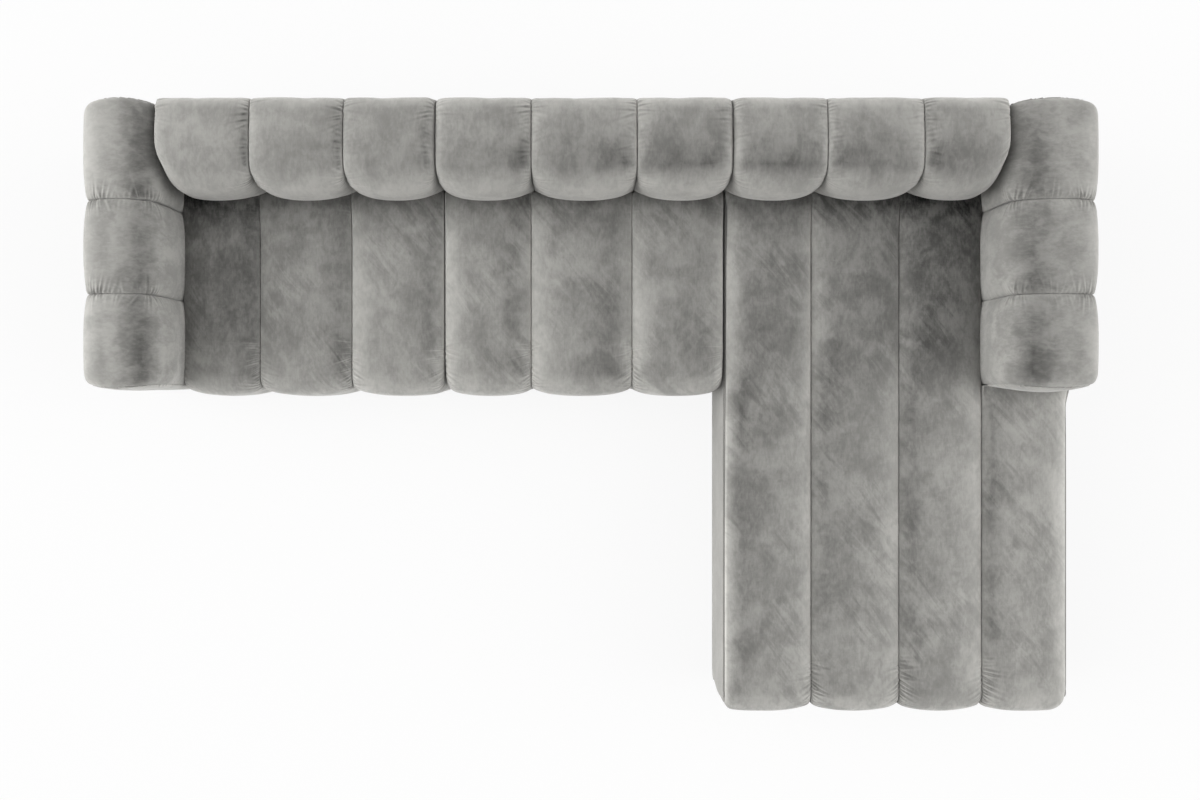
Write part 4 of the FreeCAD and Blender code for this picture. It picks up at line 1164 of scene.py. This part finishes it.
def cut_foam(name):
    """Open-celled upholstery foam, yellowed a little in patches."""
    material, net, shader = new_material(name)
    place = net.add("TexCoord").outputs["Object"]
    cells = net.add("TexVoronoi", {"Vector": place, "Scale": 520.0}).outputs["Distance"]
    ageing = net.noise(place, 5.0, 3.0, 0.6)
    tone = net.mix(ageing, (0.72, 0.66, 0.48, 1.0), (0.60, 0.52, 0.34, 1.0))
    net.dress(shader, tone, net.remap(ageing, 0.3, 0.7, 0.85, 0.95), cells, 0.5, 0.0008)
    return material


VELVETS = {}


def velvet_for(slot):
    """The velvet of a slot. All four are made once, when the first is asked for, as copies of one
    velvet, each with its own painted brightness and painted sheen.
    """
    if not VELVETS:
        settings = bpy.context.scene.sofa_velvet
        pile_group()
        shade = tuple(settings.shade)
        seat, back, arm = settings.seat_painted_brightness, settings.back_painted_brightness, settings.arm_painted_brightness
        onset = settings.onset
        # painted brightness, onset and gain of the painted sheen, and how strong its clouds,
        # streaks and strokes are
        for name, brightness, onset_here, painted_sheen_gain, *pattern in (
            ("seat_velvet", seat, settings.seat_onset, settings.seat_painted_sheen_gain, 0.60, 0.45, 0.26),
            ("back_velvet", back, onset, settings.back_painted_sheen_gain, 0.95, 0.50, 0.06),
            ("arm_velvet", arm, onset, settings.arm_painted_sheen_gain, 0.88, 0.38, 0.06),
            ("panel_velvet", back, onset, settings.panel_painted_sheen_gain, 0.6, 0.14, 0.10),
        ):
            VELVETS[name] = velvet(
                name + "_pile", shade, brightness, onset_here, painted_sheen_gain, settings, *pattern
            )
    return VELVETS[slot]


# ---------------------------------------------------------------- operators


def seat_painted_light(points, reach=0.45):
    """Painted light on the seat at points: how dark its painted shade is, and how far its painted
    sheen leans to the right.
    The painted shade lies beside an arm, exp(-(d / reach)^2) of the distance d to the arm's inner
    face, fading out towards the arm's front, and at the back, exp(-d / 0.06) of the distance d, on
    the chaise exp(-d / 0.2) too. The seat is also darker over the last of the nose, and on the
    chaise in front of the arm, where its painted sheen leans to the right."""
    settings = bpy.context.scene.sofa_velvet
    left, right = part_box("left_arm_channel_1")[1].x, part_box("chaise_arm_channel_1")[0].x
    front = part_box(f"left_arm_channel_{ARM_CHANNELS}")[0].y
    near = sum(np.exp(-(((points[:, 0] - x) / reach) ** 2)) for x in (left, right))
    back = smooth(np.clip((points[:, 1] - front + 0.08) / 0.30, 0, 1))
    chaise = points[:, 0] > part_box("chaise_seat_channel_1")[0].x - 0.02
    behind = np.maximum(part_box("left_back_channel_1")[0].y - points[:, 1], 0)
    # painted shade at the back, wider on the chaise
    at_back = 0.34 * np.exp(-behind / 0.06) + 0.10 * chaise * np.exp(-behind / 0.2)
    front_edge = np.where(
        chaise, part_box("chaise_seat_channel_1")[0].y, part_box("left_seat_channel_1")[0].y
    )
    # darker over the last of the nose
    at_nose = 0.30 * np.clip(1 - (points[:, 1] - front_edge) / DARKER_NOSE_DEPTH, 0, 1)
    # painted shade beside the arms, fading out towards their front
    lies_away = settings.painted_shade_beside_arms * near * back + at_back + at_nose
    # the chaise's front is darker too, and there the painted sheen leans to the right
    return {
        "lies_away": np.minimum(lies_away + settings.chaise_front_darkening * chaise * (1 - back), 1.0),
        "combed_back": settings.combed_back * chaise * (1 - back),
    }


def arm_painted_shade(points, darker=0.22):
    """Painted shade on an arm: from nothing in the middle of its top to most on its inner side,
    eased."""
    module = "left" if points[0, 0] < 0 else "chaise"
    low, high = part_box(f"{module}_arm_channel_1")
    inner = (points[:, 0] - low.x) / (high.x - low.x)
    inner = np.clip(((inner if module == "left" else 1 - inner) - 0.48) / 0.27, 0, 1)
    # painted shade on the arm's inner side
    return {"lies_away": darker * smooth(inner)}


def sew_channels(made, slot, painted_light=None):
    """Settles and sews (module, channel) pairs, and keeps the painted shade and painted sheen lean
    that the given function gives for the points of each piece, as point attributes for its velvet."""
    padding = bpy.context.scene.sofa_padding
    settle([channel for _, channel in made], padding)
    for module, channel in made:
        piece = sew(channel, padding.pucker)
        finish_pad(piece, module, channel.name, velvet_for(slot))
        if painted_light:
            points = np.empty(len(piece.data.vertices) * 3)
            piece.data.vertices.foreach_get("co", points)
            for name, values in painted_light(points.reshape(-1, 3)).items():
                attribute = piece.data.attributes.new(name, "FLOAT", "POINT")
                attribute.data.foreach_set("value", values)


class SofaSeatChannels(bpy.types.Operator):
    """Sews the seat channels of all three modules"""

    bl_idname = "sofa.seat_channels"
    bl_label = "Seat channels"

    def execute(self, context):
        padding = context.scene.sofa_padding
        made = [
            (module, seat_channel(module, number, padding, 100 * index + number))
            for index, (module, last) in enumerate(MODULES.items(), start=1)
            for number in range(1, last + 1)
        ]
        sew_channels(made, "seat_velvet", seat_painted_light)
        return {"FINISHED"}


class SofaBackChannels(bpy.types.Operator):
    """Sews the back channels of all three modules"""

    bl_idname = "sofa.back_channels"
    bl_label = "Back channels"

    def execute(self, context):
        padding = context.scene.sofa_padding
        made = [
            (module, back_channel(module, number, padding, 1000 + 100 * index + number))
            for index, module in enumerate(MODULES, start=1)
            for number in range(1, BACK_CHANNELS + 1)
        ]
        sew_channels(made, "back_velvet")
        return {"FINISHED"}


class SofaArmChannels(bpy.types.Operator):
    """Sews the channels of both arms"""

    bl_idname = "sofa.arm_channels"
    bl_label = "Arm channels"

    def execute(self, context):
        padding = context.scene.sofa_padding
        made = [
            (module, arm_channel(module, number, padding, 2000 + 100 * index + number))
            for index, module in enumerate(("left", "chaise"))
            for number in range(1, ARM_CHANNELS + 1)
        ]
        sew_channels(made, "arm_velvet", arm_painted_shade)
        return {"FINISHED"}


class SofaArmFacings(bpy.types.Operator):
    """Sews the puffed panels that close the arms"""

    bl_idname = "sofa.arm_facings"
    bl_label = "Arm facings"

    def execute(self, context):
        padding = context.scene.sofa_padding
        into_seat = 0.018  # how deep a facing that stands on the seat reaches into it
        for index, (module, end) in enumerate(
            (m, e) for m in ("left", "chaise") for e in ("front", "rear")
        ):
            node = f"{module}_arm_{end}_facing"
            low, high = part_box(node)
            z_foot = low.z - (SKIRT_DROP if low.z < 0.2 else into_seat)
            number, column = (ARM_CHANNELS, 0) if end == "front" else (1, -1)
            channel = arm_channel(module, number, padding, 0)
            section = channel.skin(channel.rows(0.004), 24)[:, column]
            outline, middle = end_outline(section, z_foot)
            seam_plane, out = (high.y, -1) if end == "front" else (low.y, 1)
            top, wide = section[:, 2].max(), np.ptp(section[:, 0])
            x_middle = (section[:, 0].max() + section[:, 0].min()) / 2

            def place(a, b, height):
                x, z = middle[0] + a, middle[1] + b
                stand = padding.arm_bow * arched(x, z, x_middle, wide, top)
                return np.stack([x, seam_plane + out * (height + stand), z], -1)

            depth = abs(high.y - low.y)
            piece = puffed_panel(
                node, outline, 2.2, place, 0.001, depth - 0.008, 3000 + index, padding.pucker
            )
            finish_pad(piece, module, node, velvet_for("arm_velvet"))
        return {"FINISHED"}


class SofaSidePanels(bpy.types.Operator):
    """Sews the chaise's two long side panels and the piping along their top seams"""

    bl_idname = "sofa.side_panels"
    bl_label = "Chaise side panels"

    def execute(self, context):
        padding = context.scene.sofa_padding
        fabric = velvet_for("panel_velvet")
        hidden_rows = 22  # of the seam, under the back
        for index, side in enumerate(("inner", "outer")):
            panel, seam = side_panel(side, padding, 3200 + index)
            piece = sew(panel, 0.0, count=220, step=0.006)
            finish_pad(piece, "chaise", panel.name, fabric)
            seam = seam[hidden_rows:]
            shown = seam[seam[:, 2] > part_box(panel.name)[0].z - SKIRT_DROP + 0.012]
            piece = welt(f"chaise_{side}_piping", shown, 0.0026)
            finish(piece, "chaise", None, fabric)
        return {"FINISHED"}


class SofaOuterBacks(bpy.types.Operator):
    """Sews the padded panels behind the back frames"""

    bl_idname = "sofa.outer_backs"
    bl_label = "Outer backs"

    def execute(self, context):
        padding = context.scene.sofa_padding
        for index, module in enumerate(MODULES):
            node = f"{module}_outer_back"
            low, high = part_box(node)
            z_foot = low.z - SKIRT_DROP
            left, right = low.x, high.x
            if module == "left":
                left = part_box("left_arm_rear_facing")[1].x - 0.004
            elif module == "chaise":
                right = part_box("chaise_arm_rear_facing")[0].x + 0.004
            middle = ((left + right) / 2, (z_foot + high.z) / 2)
            outline = panel_outline((right - left, high.z - z_foot), (0.02, 0.02), 0.008)

            def place(a, b, height):
                return np.stack([middle[0] + a, low.y + height, middle[1] + b], -1)

            piece = puffed_panel(
                node, outline, 3.6, place, 0.006, high.y - low.y - 0.007, 3100 + index,
                padding.pucker * 0.6,
            )
            finish_pad(piece, module, node, velvet_for("panel_velvet"))
        return {"FINISHED"}


class SofaFrames(bpy.types.Operator):
    """Gives the timber, the hooks, the screws and the feet their finishes"""

    bl_idname = "sofa.frames"
    bl_label = "Frames and fittings"

    def execute(self, context):
        finishes = {
            "timber": timber("frame_timber"),
            "zinc_steel": zinc("zinc_plate"),
            "foot_plastic": moulded("foot_moulding"),
        }
        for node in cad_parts.values():
            for place in node.material_slots:
                if place.material and place.material.name in finishes:
                    place.material = finishes[place.material.name]
        return {"FINISHED"}


def ribbon(start, end, wide, thick, sides=8, rows=60):
    """A strap as a flat tube: a squashed ring |a|^4 + |b|^4 = 1 carried from start to end."""
    start, end = np.array(start), np.array(end)
    along = (end - start) / np.linalg.norm(end - start)
    across = np.cross([0.0, 0.0, 1.0], along)
    turn = np.linspace(0, 2 * np.pi, sides, endpoint=False) + np.pi / sides
    ring = np.stack([np.cos(turn), np.sin(turn)], 1)
    ring = np.sign(ring) * np.abs(ring) ** 0.5
    t = np.linspace(0, 1, rows)
    middle = start + (end - start) * t[:, None]
    offsets = ring[:, 0, None] * across * wide / 2 + ring[:, 1, None] * np.array([0, 0, thick / 2])
    points = (middle[:, None] + offsets[None]).reshape(-1, 3)
    length_along = np.linalg.norm(end - start) * t
    cloth = np.stack(np.meshgrid(ring[:, 0] * wide / 2, length_along), -1).reshape(-1, 2)
    return points, capped_tube(rows, sides), cloth


class SofaSeatInsides(bpy.types.Operator):
    """Lays the elastic straps and the foam cores under the seats"""

    bl_idname = "sofa.seat_insides"
    bl_label = "Straps and foam"

    def execute(self, context):
        dark, pale = (0.10, 0.10, 0.11, 1.0), (0.55, 0.50, 0.42, 1.0)
        webbing = woven("elastic_webbing", dark, pale, 0.0026)
        foam = cut_foam("seat_foam")
        for index, module in enumerate(MODULES):
            self.lay_straps(module, webbing)
            self.lay_core(module, foam, 4000 + index)
        return {"FINISHED"}

    def lay_straps(self, module, webbing, lengthways=3, wide=0.070, thick=0.0018):
        """Straps from front to rear in the lower layer, and across them in the upper."""
        node = f"{module}_seat_straps"
        low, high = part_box(node)
        crossways = 8 if module == "chaise" else 4
        z_low, z_high = low.z + 0.001, high.z - 0.001
        runs = []
        for number in range(lengthways):
            x = low.x + (high.x - low.x) * (number + 0.5) / lengthways
            runs.append(((x, low.y, z_low), (x, high.y, z_low)))
        for number in range(crossways):
            y = low.y + (high.y - low.y) * (number + 0.5) / crossways
            runs.append(((low.x, y, z_high), (high.x, y, z_high)))
        points, faces, cloths, count = [], [], [], 0
        for number, (start, end) in enumerate(runs):
            some, sides, cloth = ribbon(start, end, wide, thick)
            faces += [[count + corner for corner in face] for face in sides]
            points.append(some)
            cloths.append(cloth + number)
            count += len(some)
        piece = new_piece(node, np.concatenate(points), faces, np.concatenate(cloths))
        finish(piece, module, node, webbing)

    def lay_core(self, module, foam, seed, corner_round=0.02, crown=0.012):
        """The foam core with a crowned top. The chaise's has a notch for the arm's frame."""
        node = f"{module}_seat_core"
        low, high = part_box(node)
        far = [(high.x, high.y)]
        middle = np.array([(low.x + high.x) / 2, (low.y + high.y) / 2])
        if module == "chaise":
            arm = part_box("chaise_arm_frame")[0]
            x, y = arm.x - SNUG, arm.y - SNUG
            far = [(high.x, y), (x, y), (x, high.y)]
            middle = np.array([(low.x + x) / 2, (low.y + y) / 2])
        turns = [(low.x, low.y), (high.x, low.y), *far, (low.x, high.y)]
        start = (low.x, middle[1], 0)
        corners = [start, *((x, y, corner_round) for x, y in turns), start]
        outline = rounded_line(corners, 0.01)[0][:-1] - middle

        def place(a, b, height):
            return np.stack([middle[0] + a, middle[1] + b, low.z + height], -1)

        thick = high.z - low.z
        piece = puffed_panel(node, outline, 9.0, place, thick - crown, crown, seed, 0.0)
        finish_pad(piece, module, node, foam)


class SofaDustCovers(bpy.types.Operator):
    """Hangs the thin dust covers under the seat boxes"""

    bl_idname = "sofa.dust_covers"
    bl_label = "Dust covers"

    def execute(self, context):
        dark, worn = (0.016, 0.016, 0.017, 1.0), (0.05, 0.05, 0.052, 1.0)
        fleece = woven("dust_fleece", dark, worn, 0.0016, 0.9)
        cell, sag, wave = 0.016, 0.008, 0.0006
        for index, module in enumerate(MODULES):
            node = f"{module}_dust_cover"
            low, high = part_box(node)
            size = (high.x - low.x, high.y - low.y)
            counts = [int(side / cell) for side in size]
            x, y = np.meshgrid(*(np.linspace(0, side, count) for side, count in zip(size, counts)))
            inset = np.minimum(np.minimum(x, size[0] - x), np.minimum(y, size[1] - y))
            slack = smooth(np.clip((inset - 0.12) / 0.16, 0, 1))
            random = np.random.default_rng(4100 + index)
            ripple = sum(
                np.sin(x * a + y * b + c)
                for a, b, c in zip(*random.uniform(-30, 30, (2, 5)), random.uniform(0, 6, 5))
            )
            z = low.z + 0.0007 - slack * (sag + wave * ripple)
            points = np.stack([low.x + x, low.y + y, z], -1).reshape(-1, 3)
            cloth = np.stack([x, y], -1).reshape(-1, 2)
            piece = new_piece(node, points, quads(*x.shape).tolist(), cloth)
            thickness = piece.modifiers.new("thickness", "SOLIDIFY")
            thickness.thickness, thickness.offset = 0.0006, 0.0
            finish(piece, module, node, fleece)
        return {"FINISHED"}


class SofaStageSet(bpy.types.Operator):
    """Sets the floor, the lights and the camera"""

    bl_idname = "sofa.stage"
    bl_label = "Stage"

    def execute(self, context):
        settings = context.scene.sofa_stage
        self.lay_floor(context.scene, settings.floor_white)
        self.light_air(context.scene, settings)
        self.hang_lamps(context.scene, settings)
        self.set_camera(context.scene, settings)
        context.scene.view_settings.view_transform = "Standard"
        return {"FINISHED"}

    def lay_floor(self, scene, white, reach=30.0, glow_share=0.88):
        """A pale floor that glows white where it is seen, but for the object's shadow."""
        corners = [(-reach, -reach, 0), (reach, -reach, 0), (reach, reach, 0), (-reach, reach, 0)]
        mesh = bpy.data.meshes.new("floor")
        mesh.from_pydata(corners, [], [(0, 1, 2, 3)])
        floor = bpy.data.objects.new("floor", mesh)
        scene.collection.objects.link(floor)
        material, net, shader = new_material("studio_floor")
        shader.inputs["Base Color"].default_value = (white, white, white, 1.0)
        shader.inputs["Roughness"].default_value = 0.9
        glow = net.add("Emission", {"Color": WHITE, "Strength": 1.0})
        share_of = net.math("MULTIPLY", net.seen_plainly(), glow_share)
        mixed = net.add("MixShader", {0: share_of, 1: shader.outputs[0], 2: glow.outputs[0]})
        net.tree.links.new(mixed.outputs[0], net.tree.nodes["Material Output"].inputs["Surface"])
        mesh.materials.append(material)

    def light_air(self, scene, settings):
        """White air where it is seen. Its light is even, with more from the left and the right:
        x^2 (1 - y^2)^narrow (1 - lean x) of the way (x, y, z) that it comes from."""
        world = bpy.data.worlds.new("studio_air")
        world.use_nodes = True
        scene.world = world
        net = Net(world.node_tree)
        air = world.node_tree.nodes["Background"]
        air.inputs["Color"].default_value = WHITE
        seen = net.seen_plainly()
        way = net.add("SeparateXYZ", {"Vector": net.add("TexCoord").outputs["Generated"]})
        x, y = way.outputs["X"], way.outputs["Y"]
        middle = net.math("SUBTRACT", 1.0, net.math("MULTIPLY", y, y))
        middle = net.math("POWER", middle, settings.narrow)
        beams = net.math("MULTIPLY", middle, net.math("MULTIPLY", x, x))
        beams = net.math("MULTIPLY", beams, net.math("MULTIPLY_ADD", x, -settings.lean, 1.0))
        level = net.math("MULTIPLY_ADD", beams, settings.side_light, settings.world_light)
        strength = net.math("MULTIPLY_ADD", seen, net.math("SUBTRACT", 1.0, level), level)
        net.set(air.inputs["Strength"], strength)

    def hang_lamps(self, scene, settings, size=2.6):
        """Two large lamps, to the left and the right."""
        middle = (CAD_BOX[0] + CAD_BOX[1]) / 2
        for name, place, share_of in (
            ("left", (-4.6, -0.4, 3.4), 0.60), ("right", (4.6, -0.4, 2.8), 0.40),
        ):
            lamp = bpy.data.lights.new(name, "AREA")
            lamp.size, lamp.energy = size, settings.lamp_power * share_of
            holder = bpy.data.objects.new(name, lamp)
            holder.location = place
            aim = middle - holder.location
            holder.rotation_euler = aim.to_track_quat("-Z", "Y").to_euler()
            scene.collection.objects.link(holder)

    def set_camera(self, scene, settings, aside=(-0.0194, 0.0424), shift=0.0125):
        """A camera that looks straight down on the sofa, a little aside of its middle."""
        camera = bpy.data.cameras.new("camera")
        camera.lens, camera.sensor_width, camera.shift_x = settings.lens, 36.0, shift
        camera.clip_end = 100.0
        holder = bpy.data.objects.new("camera", camera)
        holder.location = (*aside, settings.camera_height)
        scene.collection.objects.link(holder)
        scene.camera = holder


class SofaPanel(bpy.types.Panel):
    """Lists the sizes, colours and steps"""

    bl_idname = "VIEW3D_PT_corner_sofa"
    bl_label = "Corner sofa"
    bl_space_type = "VIEW_3D"
    bl_region_type = "UI"
    bl_category = "Corner sofa"

    def draw(self, context):
        for name, group in GROUPS.items():
            box = self.layout.box()
            for field in group.__annotations__:
                box.prop(getattr(context.scene, name), field)
        for operator in OPERATORS:
            self.layout.operator(operator.bl_idname)


OPERATORS = (
    SofaFrames, SofaSeatInsides, SofaDustCovers, SofaSeatChannels, SofaBackChannels,
    SofaArmChannels, SofaArmFacings, SofaSidePanels, SofaOuterBacks, SofaStageSet,
)


def register():
    """Makes the classes and the scene's settings known."""
    for part in (*GROUPS.values(), *OPERATORS, SofaPanel):
        bpy.utils.register_class(part)
    for name, group in GROUPS.items():
        setattr(bpy.types.Scene, name, bpy.props.PointerProperty(type=group))


def unregister():
    """Takes the settings and the classes away again."""
    for name in GROUPS:
        delattr(bpy.types.Scene, name)
    for part in reversed((*GROUPS.values(), *OPERATORS, SofaPanel)):
        bpy.utils.unregister_class(part)


def main():
    """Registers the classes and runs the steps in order."""
    register()
    for operator in OPERATORS:
        family, step = operator.bl_idname.split(".")
        getattr(getattr(bpy.ops, family), step)()


if __name__ == "__main__":
    main()
